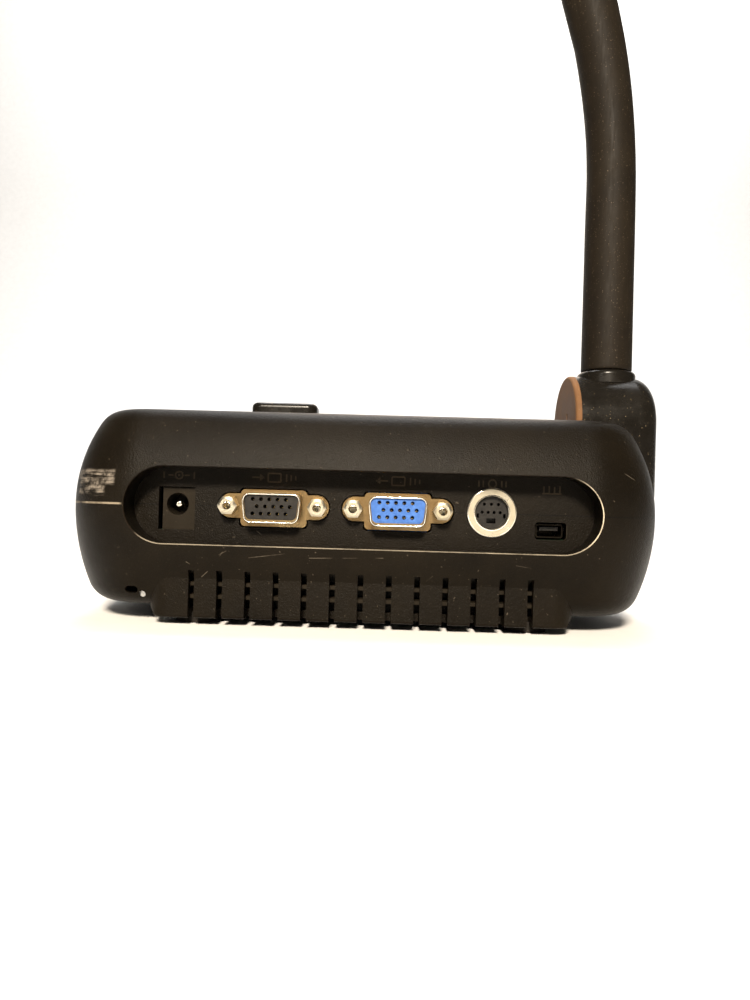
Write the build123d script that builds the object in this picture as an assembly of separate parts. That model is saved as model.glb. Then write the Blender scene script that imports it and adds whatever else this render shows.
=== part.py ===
from build123d import *
import math
import os

# A portable document camera. +Z is up, +Y is the rear (the side with the sockets) and +X
# runs along the base, away from the folding neck. The origin is the centre of the area
# that the feet cover, on the desk. All sizes are in millimetres.

# ---- base shell: a bar with bulging sides, parted at its widest height ----
BODY_LENGTH = 171.0
BODY_DEPTH = 95.0
SEAM_Z = 33.0            # height of the parting line above the desk
UPPER_HEIGHT = 27.3      # seam to flat top
LOWER_HEIGHT = 28.3      # seam to flat bottom
PLAN_CORNER = 24.0       # corner radius seen from above, at the seam
UPPER_BULGE = 46.0       # radius of the upper side's curve
LOWER_BULGE = 62.0
UPPER_LEAN = 0.5         # degrees that the upper side leans in at the seam
EDGE_ROUND = 8.0
WALL = 2.2

# ---- foot block under the base ----
FOOT_SETBACK = 26.5       # from the end of the base to the foot's end
FOOT_INSET = 3.3         # from the widest part of the side to the foot's face
FOOT_CORNER = 6.0
FOOT_DROP = 2.6          # foot block below the shell's bottom
FOOT_SLANT = 2.4         # how far the foot block's ends lean in at its underside
PAD_RADIUS = 6.0
PAD_SEAT = 1.0           # depth of the pads' seats in the foot block
PAD_EDGE_X, PAD_EDGE_Y = 12.0, 11.2   # from the foot block's faces to a pad's centre
VENT_COUNT = 13
VENT_PITCH = 7.73
VENT_WIDTH = 1.6
VENT_TOP_DROP = 17.7     # seam to the top of a vent slot
VENT_WRAP = 6.5          # how far a slot runs under the foot block

# ---- port recess ----
RECESS_LENGTH = 130.0
RECESS_HEIGHT = 21.5
RECESS_DEPTH = 10.0
PORT_Z = SEAM_Z + 0.25
DC_X, VGA_IN_X, VGA_OUT_X, DIN_X, USB_X = 52.8, 25.3, -9.7, -36.2, -52.9
USB_DROP = 4.5           # mini USB below the seam
FIT = 0.25               # gap round what sits in a cut-out
JACK_HOLE_RADIUS, JACK_HOLE_DEPTH, JACK_PIN_RADIUS = 3.15, 9.5, 1.0
JACK_SIZE, JACK_FACE_SET, JACK_BODY_LENGTH = 9.2, 1.0, 13.0
JACK_SHIFT = 0.4         # the inlet sits off the middle of its cut-out
FLANGE_THICK, FLANGE_SET = 0.8, 0.2
FLANGE_SIZE, FLANGE_DROP = (18.7, 10.4), 0.5
EARS_SIZE = (31.2, 6.9)
FLANGE_GAP = 0.4         # round the flange, in its cut-out
SHELL_PROUD, SHELL_SKIN, INSERT_SET = 5.8, 0.5, 0.7
SCREW_SPACING = 24.99    # between the two jackscrews of a 15-way socket
HEX_RADIUS, HEX_LENGTH, HEX_BORE = 2.77, 4.7, 1.2
PIN_PITCH, PIN_ROW, PIN_RADIUS_15 = 2.29, 2.0, 0.55
DIN_RADIUS, DIN_BORE, DIN_PROUD = 6.85, 4.75, 0.3
USB_SIZE, USB_CUT = (7.7, 3.9), (9.0, 5.0)
LOCK_X, LOCK_DROP, LOCK_RADIUS = 60.4, 23.7, 0.9   # small screw beside the foot block

# ---- boards ----
BOARD_DROP = 7.0         # seam to the main board's upper face
BOARD_THICK = 1.6
BOARD_NECK_GAP = 5.1     # neck slot to the main board
BOARD_EDGE_GAP = 9.5     # outside of the shell to the main board
BOARD_FRONT_GAP = 13.5
CONTROL_DROP = 11.7      # flat top to the control board
SWITCH_HEIGHT = 3.9
VIDEO_CHIP_SIZE, VIDEO_CHIP_HEIGHT = 20.0, 2.0
SINK_SIZE, SINK_BASE, SINK_HEIGHT, FIN_COUNT, FIN_THICK = 28.0, 2.0, 9.0, 7, 1.2
BALLAST_THICK = 6.0

# ---- housing screws ----
COLUMN_NECK_GAP = 13.6   # neck slot to the centre of the near columns
COLUMN_END_GAP = 19.5    # end of the base to the centre of the far columns
COLUMN_REAR_GAP, COLUMN_FRONT_GAP = 25.5, 21.5
COLUMN_RADIUS = 3.6
COLUMN_FOOT_RADIUS = 5.0
SCREW_RADIUS = 1.45
SCREW_HEAD_RADIUS = 2.8
SCREW_HEAD_HEIGHT = 2.0
SCREW_SEAT_Z = 10.0
SCREW_PAST_SEAM = 9.0

# ---- folding neck block ----
NECK_INSET = 20.9        # end of the base to the block's inner face
NECK_WIDTH = 26.6        # inner face to outer face
NECK_HALF = 16.0         # half its thickness, and its end radius
PIVOT_Y = 0.0
PIVOT_RISE = 8.0         # pivot above the seam
NECK_TOP_RISE = 45.6     # top of the block above the seam
NECK_OUTER_ROUND = 6.5
NECK_INNER_ROUND = 1.0
NECK_GAP = 1.0           # gap to the walls of its slot
COVER_THICK = 1.8
AXLE_RADIUS = 4.0
AXLE_RUN = 0.05          # radial running clearance of the axle
BRACKET_THICK = 2.2
NUT_THICK, NUT_RADIUS = 4.0, 6.0
WASHER_STACK = [(0.1, 0.8, 7.0), (1.0, 0.5, 6.6), (1.6, 0.8, 7.0)]   # offset, thickness, radius

# ---- gooseneck ----
SLEEVE_RADIUS = 8.1
SLEEVE_BORE = 5.4
CORE_RADIUS = 5.2
CORE_BORE = 2.0
BALL_RADIUS = 4.5
SOCKET_RADIUS = 4.65
CORE_NECK_RADIUS = 3.3
CORE_GAP = 2.3           # joint centre to the next link's tube
SLEEVE_GAP = 1.6         # joint centre to a sleeve's end
COLLAR_RADIUS = 9.3
COLLAR_RISE = 4.5
STRAIGHT_LENGTHS = [30.0, 30.0]
FIRST_BEND_RADIUS, FIRST_BEND_LENGTH = 240.0, 64.0
ARCH_RADIUS, ARCH_LINK_LENGTH, ARCH_LINKS = 110.0, 43.1, 4

# ---- camera head ----
HEAD_RADIUS = 18.0
HEAD_ABOVE, HEAD_BELOW = 12.0, 38.0   # shell above and below its pivot
YOKE_REACH = 25.5        # gooseneck tip to the head's pivot
TONGUE_THICK = 9.0
HEAD_GAP = 0.5
PIN_RADIUS = 2.0
BEZEL_THICK = 2.0
FOCUS_RADIUS, FOCUS_LENGTH = 13.0, 9.0
LENS_RADIUS = 8.0
LAMP_CIRCLE, LAMP_COUNT = 14.5, 6
LAMP_BUTTON_DROP, LAMP_BUTTON_RADIUS, LAMP_BUTTON_PROUD = 22.0, 3.5, 1.2

# ---- buttons ----
POWER_X, POWER_Y = 24.6, 22.5
POWER_SIZE = (19.6, 11.0)
POWER_PROUD = 3.8
BUTTON_RADIUS = 4.5
BUTTON_PROUD = 0.7
BUTTON_Y = -22.0
BUTTON_XS = {"freeze": 33.0, "source": 15.0, "zoom_out": -3.0, "zoom_in": -21.0}
BUTTON_GAP = 0.3
BUTTON_TRAVEL = 1.0

# ---- worked-out places ----
TOP_Z = SEAM_Z + UPPER_HEIGHT
BOTTOM_Z = SEAM_Z - LOWER_HEIGHT
FOOT_Z = BOTTOM_Z - FOOT_DROP
REAR_Y = BODY_DEPTH / 2
PANEL_Y = REAR_Y - RECESS_DEPTH
END_X = BODY_LENGTH / 2
FOOT_LENGTH = BODY_LENGTH - 2 * FOOT_SETBACK
FOOT_DEPTH = BODY_DEPTH - 2 * FOOT_INSET
BOARD_TOP = SEAM_Z - BOARD_DROP
BOARD_Y1 = PANEL_Y - WALL - 0.5
USB_Z = SEAM_Z - USB_DROP
LOCK_Z = SEAM_Z - LOCK_DROP
PIVOT_Z = SEAM_Z + PIVOT_RISE
NECK_X_IN = -END_X + NECK_INSET
NECK_X_OUT = NECK_X_IN - NECK_WIDTH
NECK_TOP_Z = SEAM_Z + NECK_TOP_RISE
NECK_X = (NECK_X_IN + NECK_X_OUT) / 2
SLOT_X = NECK_X_IN + NECK_GAP
SLOT_Y = PIVOT_Y + NECK_HALF + NECK_GAP
SLOT_FLOOR = PIVOT_Z - NECK_HALF - NECK_GAP
BRACKET_X0 = SLOT_X + WALL + 0.1
STACK_END = BRACKET_X0 + BRACKET_THICK + WASHER_STACK[-1][0] + WASHER_STACK[-1][1]
PAD_X, PAD_Y = FOOT_LENGTH / 2 - PAD_EDGE_X, FOOT_DEPTH / 2 - PAD_EDGE_Y
PAD_XY = [(sx * PAD_X, sy * PAD_Y) for sx in (-1, 1) for sy in (-1, 1)] + [(0.0, 0.0)]
COLUMN_XY = [(x, y) for x in (SLOT_X + COLUMN_NECK_GAP, END_X - COLUMN_END_GAP)
             for y in (REAR_Y - COLUMN_REAR_GAP, -REAR_Y + COLUMN_FRONT_GAP)]
BOARD_X0, BOARD_X1 = SLOT_X + BOARD_NECK_GAP, END_X - BOARD_EDGE_GAP
BOARD_Y0 = -REAR_Y + BOARD_FRONT_GAP
CONTROL_BOARD_Z = TOP_Z - CONTROL_DROP
SCREW_END_Z = SEAM_Z + SCREW_PAST_SEAM
SWITCH_TOP = CONTROL_BOARD_Z + BOARD_THICK + SWITCH_HEIGHT
STEM_END = SWITCH_TOP + BUTTON_TRAVEL + 0.3
COLLAR_Z = NECK_TOP_Z - NECK_HALF + math.sqrt(NECK_HALF ** 2 - COLLAR_RADIUS ** 2)
NECK_START_Z = COLLAR_Z + COLLAR_RISE


def save(node, shape):
    """Write one node as parts/NODE.step."""
    export_step(shape, f"parts/{node}.step")


def box(x0, x1, y0, y1, z0, z1):
    """A block between two corners."""
    solid = Box(abs(x1 - x0), abs(y1 - y0), abs(z1 - z0))
    return Pos((x0 + x1) / 2, (y0 + y1) / 2, (z0 + z1) / 2) * solid


def rod(x, y, z0, z1, radius):
    """An upright cylinder from z0 to z1."""
    return Pos(x, y, (z0 + z1) / 2) * Cylinder(radius, abs(z1 - z0))


def rod_y(x, z, y0, y1, radius):
    """A cylinder along Y."""
    return Pos(x, (y0 + y1) / 2, z) * Rot(90, 0, 0) * Cylinder(radius, abs(y1 - y0))


def rod_x(y, z, x0, x1, radius):
    """A cylinder along X."""
    return Pos((x0 + x1) / 2, y, z) * Rot(0, 90, 0) * Cylinder(radius, abs(x1 - x0))


def slab_y(outline, x, z, y0, y1):
    """A flat outline drawn in X and Z, given thickness from y0 to y1."""
    return Pos(x, y1, z) * extrude(Plane.XZ * outline, y1 - y0)


# ---------------------------------------------------------------- base shell
def rim_face(bulge, lean, height, wall):
    """Half section of the shell's side, from a plan corner's axis (x = 0) outwards.

    The side is an arc that leans in from the seam, then a rounded edge, then the flat."""
    lean = math.radians(lean)
    cx, cz = PLAN_CORNER - bulge * math.cos(lean), -bulge * math.sin(lean)
    big, small, top = bulge - wall, EDGE_ROUND - wall, height - wall
    seam_x = cx + math.sqrt(big ** 2 - cz ** 2)
    fx = cx + math.sqrt((big - small) ** 2 - (top - small - cz) ** 2)
    fz = top - small
    turn = math.atan2(fz - cz, fx - cx)
    start = math.atan2(-cz, seam_x - cx)
    middle = (turn + start) / 2
    shoulder = (cx + big * math.cos(turn), cz + big * math.sin(turn))
    mid_side = (cx + big * math.cos(middle), cz + big * math.sin(middle))
    mid_edge_angle = (turn + math.pi / 2) / 2
    mid_edge = (fx + small * math.cos(mid_edge_angle), fz + small * math.sin(mid_edge_angle))
    outline = [
        Line((0, 0), (seam_x, 0)),
        ThreePointArc((seam_x, 0), mid_side, shoulder),
        ThreePointArc(shoulder, mid_edge, (fx, top)),
        Line((fx, top), (0, top)),
        Line((0, top), (0, 0)),
    ]
    return make_face(Curve() + outline)


def ring_block(rim, height):
    """Carry a rim section round the plan: four sides, four corners and the core."""
    half_x = BODY_LENGTH / 2 - PLAN_CORNER
    half_y = BODY_DEPTH / 2 - PLAN_CORNER
    section = Plane.XZ * rim
    block = box(-half_x, half_x, -half_y, half_y, 0, height)
    starts = [(half_x, half_y), (-half_x, half_y), (-half_x, -half_y), (half_x, -half_y)]
    for i, (x, y) in enumerate(starts):
        run = 2 * (half_y if i % 2 == 0 else half_x)
        turn = Rot(0, 0, 90 * i)
        block += Pos(x, y, 0) * turn * extrude(section, run)
        block += Pos(x, y, 0) * turn * revolve(section, Axis.Z, 90)
    return block


def upper_block(wall):
    rim = rim_face(UPPER_BULGE, UPPER_LEAN, UPPER_HEIGHT, wall)
    return Pos(0, 0, SEAM_Z) * ring_block(rim, UPPER_HEIGHT - wall)


def lower_block(wall):
    rim = rim_face(LOWER_BULGE, 0, LOWER_HEIGHT, wall)
    return Pos(0, 0, SEAM_Z) * Rot(180, 0, 0) * ring_block(rim, LOWER_HEIGHT - wall)


def recess_block(grow, y_in):
    """The recess's stadium outline, carried from y_in out past the rear face."""
    outline = SlotOverall(RECESS_LENGTH + 2 * grow, RECESS_HEIGHT + 2 * grow)
    return slab_y(outline, 0, SEAM_Z, y_in, REAR_Y + WALL)


def neck_slot(grow):
    """The open slot at the end of the base that the neck block folds in."""
    past = BODY_LENGTH
    return box(-past, SLOT_X + grow, -past, SLOT_Y + grow, SLOT_FLOOR - grow, past)


def vga_outline(grow):
    """Flange outline: a rounded rectangle, set a little low, with an ear at each end."""
    plate = RectangleRounded(*(side + 2 * grow for side in FLANGE_SIZE), 1.2)
    return Pos(0, -FLANGE_DROP) * plate + SlotOverall(*(side + 2 * grow for side in EARS_SIZE))


def port_cuts():
    """Everything that the sockets need cut out of the recess's back wall."""
    y0, y1 = PANEL_Y - 2 * WALL, PANEL_Y + 0.5
    cuts = box(DC_X - 5.15, DC_X + 5.15, y0, y1, BOARD_TOP, PORT_Z + 4.85)
    for x in (VGA_IN_X, VGA_OUT_X):
        cuts += slab_y(vga_outline(FLANGE_GAP), x, PORT_Z, y0, y1)
    cuts += rod_y(DIN_X, PORT_Z, y0, y1, DIN_RADIUS + FIT)
    usb = slab_y(RectangleRounded(*USB_CUT, 1.1), USB_X, USB_Z, y0, y1)
    return cuts + usb


half = BODY_LENGTH + BODY_DEPTH
above_seam = box(-half, half, -half, half, SEAM_Z, SEAM_Z + half)
below_seam = box(-half, half, -half, half, SEAM_Z - half, SEAM_Z)


def shell_half(outer, inner, side):
    """One half of the shell, with its half of the recess and of the neck slot walled in."""
    walls = (recess_block(WALL, PANEL_Y - WALL) + neck_slot(WALL)) & side
    shell = (outer - inner) + (walls & outer)
    shell -= recess_block(0, PANEL_Y)
    shell -= neck_slot(0)
    return shell - port_cuts()


def make_top_housing():
    shell = shell_half(upper_block(0), upper_block(WALL), above_seam)
    for x, y in COLUMN_XY:
        column = rod(x, y, SEAM_Z, TOP_Z - WALL / 2, COLUMN_RADIUS)
        shell += column - rod(x, y, 0, SCREW_END_Z + 1, SCREW_RADIUS + 0.05)
    for x in (-30.0, 38.0):
        shell += rod(x, 0, CONTROL_BOARD_Z + BOARD_THICK, TOP_Z - WALL / 2, 3.0)
    shell -= rod_x(PIVOT_Y, PIVOT_Z, SLOT_X - 1, SLOT_X + 2 * WALL, AXLE_RADIUS + 0.4)
    width, depth = (s + 2 * BUTTON_GAP for s in POWER_SIZE)
    hole = extrude(RectangleRounded(width, depth, 3.2), 3 * WALL)
    shell -= Pos(POWER_X, POWER_Y, TOP_Z - 2 * WALL) * hole
    for x in BUTTON_XS.values():
        shell -= rod(x, BUTTON_Y, TOP_Z - 2 * WALL, TOP_Z + 1, BUTTON_RADIUS + BUTTON_GAP)
    return shell


def foot_plan(inset, corner):
    return RectangleRounded(FOOT_LENGTH - 2 * inset, FOOT_DEPTH - 2 * inset, corner)


def make_bottom_housing():
    foot_top = SEAM_Z - VENT_TOP_DROP + 3
    foot = Pos(0, 0, FOOT_Z) * extrude(foot_plan(0, FOOT_CORNER), foot_top - FOOT_Z)
    top_x, low_x = FOOT_LENGTH / 2, FOOT_LENGTH / 2 - FOOT_SLANT
    ends = Polygon((-low_x, FOOT_Z), (low_x, FOOT_Z), (top_x, BOTTOM_Z + 1), (top_x, foot_top),
                   (-top_x, foot_top), (-top_x, BOTTOM_Z + 1), align=None)
    foot &= slab_y(ends, 0, 0, -REAR_Y, REAR_Y)
    foot = fillet(foot.faces().sort_by(Axis.Z)[0].edges(), 0.8)
    outer = lower_block(0) + foot
    hollow = Pos(0, 0, FOOT_Z + WALL) * extrude(foot_plan(WALL, FOOT_CORNER - WALL), foot_top - FOOT_Z)
    inner = lower_block(WALL) + hollow
    shell = shell_half(outer, inner & below_seam, below_seam)
    for x, y in COLUMN_XY:
        shell += rod(x, y, BOTTOM_Z - 1, SCREW_SEAT_Z + 3, COLUMN_FOOT_RADIUS) & outer
        shell += rod(x, y, SCREW_SEAT_Z, BOARD_TOP - BOARD_THICK, COLUMN_RADIUS)
        shell -= rod(x, y, -1, SCREW_SEAT_Z, SCREW_HEAD_RADIUS + 0.3)
        shell -= rod(x, y, -1, SEAM_Z, SCREW_RADIUS + 0.25)
    first = -VENT_PITCH * (VENT_COUNT - 1) / 2
    face_y = FOOT_DEPTH / 2
    for i in range(VENT_COUNT):
        x = first + i * VENT_PITCH
        shell -= box(x - VENT_WIDTH / 2, x + VENT_WIDTH / 2, face_y - VENT_WRAP, REAR_Y + 1,
                     -1, SEAM_Z - VENT_TOP_DROP)
    for x, y in PAD_XY:
        shell -= rod(x, y, -1, FOOT_Z + PAD_SEAT, PAD_RADIUS)
    shell -= rod_x(PIVOT_Y, PIVOT_Z, SLOT_X - 1, SLOT_X + 2 * WALL, AXLE_RADIUS + 0.4)
    lock_slot = slab_y(SlotOverall(3.6, 2.0), LOCK_X + 2.9, LOCK_Z, REAR_Y - 16, REAR_Y + 1)
    lock_hole = rod_y(LOCK_X, LOCK_Z - 1.2, REAR_Y - 16, REAR_Y + 1, LOCK_RADIUS)
    return shell - lock_slot - lock_hole


os.makedirs("parts", exist_ok=True)
save("top_housing", make_top_housing())
save("bottom_housing", make_bottom_housing())


# ------------------------------------------------------------ inside the base
def make_feet():
    pads = [rod(x, y, 0, FOOT_Z + PAD_SEAT, PAD_RADIUS) for x, y in PAD_XY]
    return Compound(children=[Part() + p for p in pads])


def make_vent_baffle():
    """A plate behind the vent slots with level fins towards them."""
    floor, plate_y = FOOT_Z + WALL, FOOT_DEPTH / 2 - VENT_WRAP - 2.2
    half_run = VENT_PITCH * VENT_COUNT / 2
    baffle = box(-half_run, half_run, plate_y - 1.5, plate_y, floor, SEAM_Z - VENT_TOP_DROP + 1)
    for z in (floor + 3.0, floor + 6.5, floor + 10.0):
        baffle += box(-half_run, half_run, plate_y, FOOT_DEPTH / 2 - WALL - 0.3, z, z + 1.0)
    return baffle


def make_ballast():
    floor, gap = FOOT_Z + WALL, WALL + 1
    x0, x1 = COLUMN_XY[0][0] + COLUMN_FOOT_RADIUS + 1, FOOT_LENGTH / 2 - gap
    y0, y1 = -FOOT_DEPTH / 2 + gap, FOOT_DEPTH / 2 - VENT_WRAP - 4.7
    plate = box(x0, x1, y0, y1, floor, floor + BALLAST_THICK)
    return fillet(plate.edges().filter_by(Axis.Z), 4.0)


def make_screws():
    solids = []
    for x, y in COLUMN_XY:
        head = rod(x, y, SCREW_SEAT_Z - SCREW_HEAD_HEIGHT, SCREW_SEAT_Z, SCREW_HEAD_RADIUS)
        solids.append(head + rod(x, y, SCREW_SEAT_Z, SCREW_END_Z, SCREW_RADIUS)
                      - rod(x, y, SCREW_SEAT_Z - SCREW_HEAD_HEIGHT - 1, SCREW_SEAT_Z - 0.8, 1.0))
    lock = rod_y(LOCK_X, LOCK_Z - 1.2, REAR_Y - 12, REAR_Y - 6.2, LOCK_RADIUS)
    solids.append(lock)
    return Compound(children=[Part() + s for s in solids])


def make_main_board():
    board = box(BOARD_X0, BOARD_X1, BOARD_Y0, BOARD_Y1, BOARD_TOP - BOARD_THICK, BOARD_TOP)
    board = fillet(board.edges().filter_by(Axis.Z), 3.0)
    for x, y in COLUMN_XY:
        board -= rod(x, y, 0, SEAM_Z, SCREW_RADIUS + 0.25)
    return board


def make_heat_sink():
    """A finned block on the video chip."""
    x0, y0, base = -8.0, -20.0, BOARD_TOP + VIDEO_CHIP_HEIGHT
    sink = box(x0, x0 + SINK_SIZE, y0, y0 + SINK_SIZE, base, base + SINK_BASE)
    for i in range(FIN_COUNT):
        x = x0 + FIN_THICK / 2 + i * (SINK_SIZE - 2 * FIN_THICK) / (FIN_COUNT - 1)
        sink += box(x, x + FIN_THICK, y0, y0 + SINK_SIZE, base + SINK_BASE, base + SINK_HEIGHT)
    return sink


def make_video_chip():
    x0, y0 = -4.0, -16.0
    return box(x0, x0 + VIDEO_CHIP_SIZE, y0, y0 + VIDEO_CHIP_SIZE, BOARD_TOP, BOARD_TOP + VIDEO_CHIP_HEIGHT)


def make_control_board():
    board = box(-36.0, 44.0, -29.0, 29.0, CONTROL_BOARD_Z, CONTROL_BOARD_Z + BOARD_THICK)
    return fillet(board.edges().filter_by(Axis.Z), 2.0)


def make_switches():
    places = [(POWER_X, POWER_Y)] + [(x, BUTTON_Y) for x in BUTTON_XS.values()]
    z0 = CONTROL_BOARD_Z + BOARD_THICK
    solids = [box(x - 3, x + 3, y - 3, y + 3, z0, SWITCH_TOP - 0.6)
              + rod(x, y, SWITCH_TOP - 0.6, SWITCH_TOP, 1.7) for x, y in places]
    return Compound(children=[Part() + s for s in solids])


save("rubber_feet", make_feet())
save("vent_baffle", make_vent_baffle())
save("ballast_plate", make_ballast())
save("housing_screws", make_screws())
save("main_board", make_main_board())
save("video_chip", make_video_chip())
save("heat_sink", make_heat_sink())
save("control_board", make_control_board())
save("control_switches", make_switches())

# ------------------------------------------------------------------- sockets


def d_outline(shrink):
    """The D shape of a 15-way socket: two rounded corners wide apart, two closer."""
    w_top, w_bottom, h = 16.6 / 2 - shrink, 14.9 / 2 - shrink, 8.3 / 2 - shrink
    shape = Polygon((-w_bottom, -h), (w_bottom, -h), (w_top, h), (-w_top, h), align=None)
    return fillet(shape.vertices(), 2.0 - shrink)


def make_dc_jack():
    face, middle = PANEL_Y - JACK_FACE_SET, DC_X - JACK_SHIFT
    x0, x1 = middle - JACK_SIZE / 2, middle + JACK_SIZE / 2
    body = box(x0, x1, face - JACK_BODY_LENGTH, face, BOARD_TOP, PORT_Z + JACK_SIZE / 2)
    body -= rod_y(DC_X, PORT_Z, face - JACK_HOLE_DEPTH, face + 1, JACK_HOLE_RADIUS)
    pin = rod_y(DC_X, PORT_Z, face - JACK_HOLE_DEPTH, face - 0.9, JACK_PIN_RADIUS)
    return body, fillet(pin.edges().sort_by(Axis.Y)[-1], 0.5)


def make_vga(x):
    """Metal shell with its flange, and the plastic insert with fifteen holes."""
    flange_y = PANEL_Y - FLANGE_SET
    shell = slab_y(vga_outline(0), x, PORT_Z, flange_y - FLANGE_THICK, flange_y)
    shell += slab_y(d_outline(0), x, PORT_Z, flange_y - FLANGE_THICK, flange_y + SHELL_PROUD)
    shell -= slab_y(d_outline(SHELL_SKIN), x, PORT_Z, flange_y - 2, flange_y + SHELL_PROUD + 1)
    for side in (-1, 1):
        shell -= rod_y(x + side * SCREW_SPACING / 2, PORT_Z, flange_y - 2, flange_y + 1, 1.6)
    insert = slab_y(d_outline(SHELL_SKIN), x, PORT_Z, flange_y - 2, flange_y + SHELL_PROUD - INSERT_SET)
    insert += slab_y(RectangleRounded(17.0, 9.0, 1.0), x, PORT_Z, flange_y - 4, flange_y - FLANGE_THICK)
    insert += box(x - 8.5, x + 8.5, flange_y - 12, BOARD_Y1, BOARD_TOP, PORT_Z + 5)
    for row, z in enumerate((PIN_ROW, 0.0, -PIN_ROW)):
        for i in range(5):
            hole_x = x + (i - 2) * PIN_PITCH + PIN_PITCH / 4 * (-1 if row == 1 else 1)
            insert -= rod_y(hole_x, PORT_Z + z, flange_y + 1, flange_y + SHELL_PROUD, PIN_RADIUS_15)
    return shell, insert


def make_jackscrews():
    """Hexagonal jackscrews with a threaded hole, two for each video socket."""
    y0 = PANEL_Y - FLANGE_SET
    solids = []
    for x in (VGA_IN_X, VGA_OUT_X):
        for side in (-1, 1):
            cx = x + side * SCREW_SPACING / 2
            hexagon = slab_y(RegularPolygon(HEX_RADIUS, 6), cx, PORT_Z, y0, y0 + HEX_LENGTH)
            dome = Pos(cx, y0, PORT_Z) * Sphere(HEX_LENGTH + 0.35)
            screw = (hexagon & dome) + rod_y(cx, PORT_Z, y0 - 5, y0, 1.5)
            solids.append(screw - rod_y(cx, PORT_Z, y0 - 3, y0 + HEX_LENGTH + 1, HEX_BORE))
    return Compound(children=[Part() + s for s in solids])


def make_mini_din():
    face = PANEL_Y + DIN_PROUD
    ring = rod_y(DIN_X, PORT_Z, BOARD_Y1 + 0.1, face, DIN_RADIUS)
    ring -= rod_y(DIN_X, PORT_Z, PANEL_Y - 8, face + 1, DIN_BORE)
    insert = rod_y(DIN_X, PORT_Z, PANEL_Y - 7, face - 1.6, DIN_BORE - 0.05)
    insert += box(DIN_X - 7, DIN_X + 7, PANEL_Y - 14, PANEL_Y - 7, BOARD_TOP, PORT_Z + 7)
    y0, y1 = face - 5, face
    for count, z, pitch in ((3, 2.4, 2.0), (4, 0.1, 1.7)):
        for i in range(count):
            insert -= rod_y(DIN_X + (i - (count - 1) / 2) * pitch, PORT_Z + z, y0, y1, 0.45)
    insert -= box(DIN_X - 1.3, DIN_X + 1.3, y0, y1, PORT_Z - 3.0, PORT_Z - 1.6)
    for side in (-1, 1):
        insert -= box(DIN_X + side * 3.4, DIN_X + side * 4.1, y0, y1, PORT_Z - 1.5, PORT_Z - 0.3)
    return ring, insert


def make_mini_usb():
    face = PANEL_Y - WALL - 0.3
    width, height = USB_SIZE
    shell = slab_y(RectangleRounded(width, height, 0.6), USB_X, USB_Z, face - 9, face)
    shell -= slab_y(RectangleRounded(width - 0.8, height - 0.8, 0.4), USB_X, USB_Z, face - 8, face + 1)
    tongue = box(USB_X - 2.6, USB_X + 2.6, face - 8, face - 0.8, USB_Z + 0.1, USB_Z + 1.1)
    return shell, tongue


dc_body, dc_pin = make_dc_jack()
save("dc_jack_body", dc_body)
save("dc_jack_pin", dc_pin)
for name, port_x in (("vga_in", VGA_IN_X), ("vga_out", VGA_OUT_X)):
    metal, plastic = make_vga(port_x)
    save(f"{name}_shell", metal)
    save(f"{name}_insert", plastic)
save("jackscrews", make_jackscrews())
din_ring, din_insert = make_mini_din()
save("mini_din_shell", din_ring)
save("mini_din_insert", din_insert)
usb_shell, usb_tongue = make_mini_usb()
save("mini_usb_shell", usb_shell)
save("mini_usb_tongue", usb_tongue)


# ------------------------------------------------------------------- buttons
def make_power_button():
    """The raised cap, a flange under the wall that keeps it in, and a stem."""
    under = TOP_Z - WALL - 0.1
    width, depth = POWER_SIZE
    cap_top = TOP_Z + POWER_PROUD
    cap = extrude(RectangleRounded(width, depth, 3.0), cap_top - under + 1.0)
    cap = fillet(cap.faces().sort_by(Axis.Z)[-1].edges(), 1.5)
    cap = Pos(POWER_X, POWER_Y, under - 1.0) * cap
    cap += Pos(POWER_X, POWER_Y, under - 1.0) * extrude(Rectangle(width + 2, depth + 2), 1.0)
    return cap + rod(POWER_X, POWER_Y, STEM_END, under - 1.0, 2.0)


def make_button(x):
    under = TOP_Z - WALL - 0.1
    cap = rod(x, BUTTON_Y, under - 1.0, TOP_Z + BUTTON_PROUD, BUTTON_RADIUS)
    cap = fillet(cap.edges().sort_by(Axis.Z)[-1], 0.5)
    cap += rod(x, BUTTON_Y, under - 1.0, under, BUTTON_RADIUS + 1.0)
    return cap + rod(x, BUTTON_Y, STEM_END, under - 1.0, 1.5)


save("power_button", make_power_button())
for name, button_x in BUTTON_XS.items():
    save(f"{name}_button", make_button(button_x))


# -------------------------------------------------------- folding neck block
def neck_outline(inset):
    """Side view of the block: a stadium from the pivot up to its top."""
    height = NECK_TOP_Z - PIVOT_Z + NECK_HALF - 2 * inset
    return Rot(0, 0, 90) * SlotOverall(height, 2 * (NECK_HALF - inset))


def neck_slab(inset, x0, x1):
    """The block's outline, carried along X from x1 down to x0."""
    middle = (NECK_TOP_Z + PIVOT_Z - NECK_HALF) / 2
    return Pos(x0, PIVOT_Y, middle) * extrude(Plane.YZ * neck_outline(inset), x1 - x0)


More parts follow.
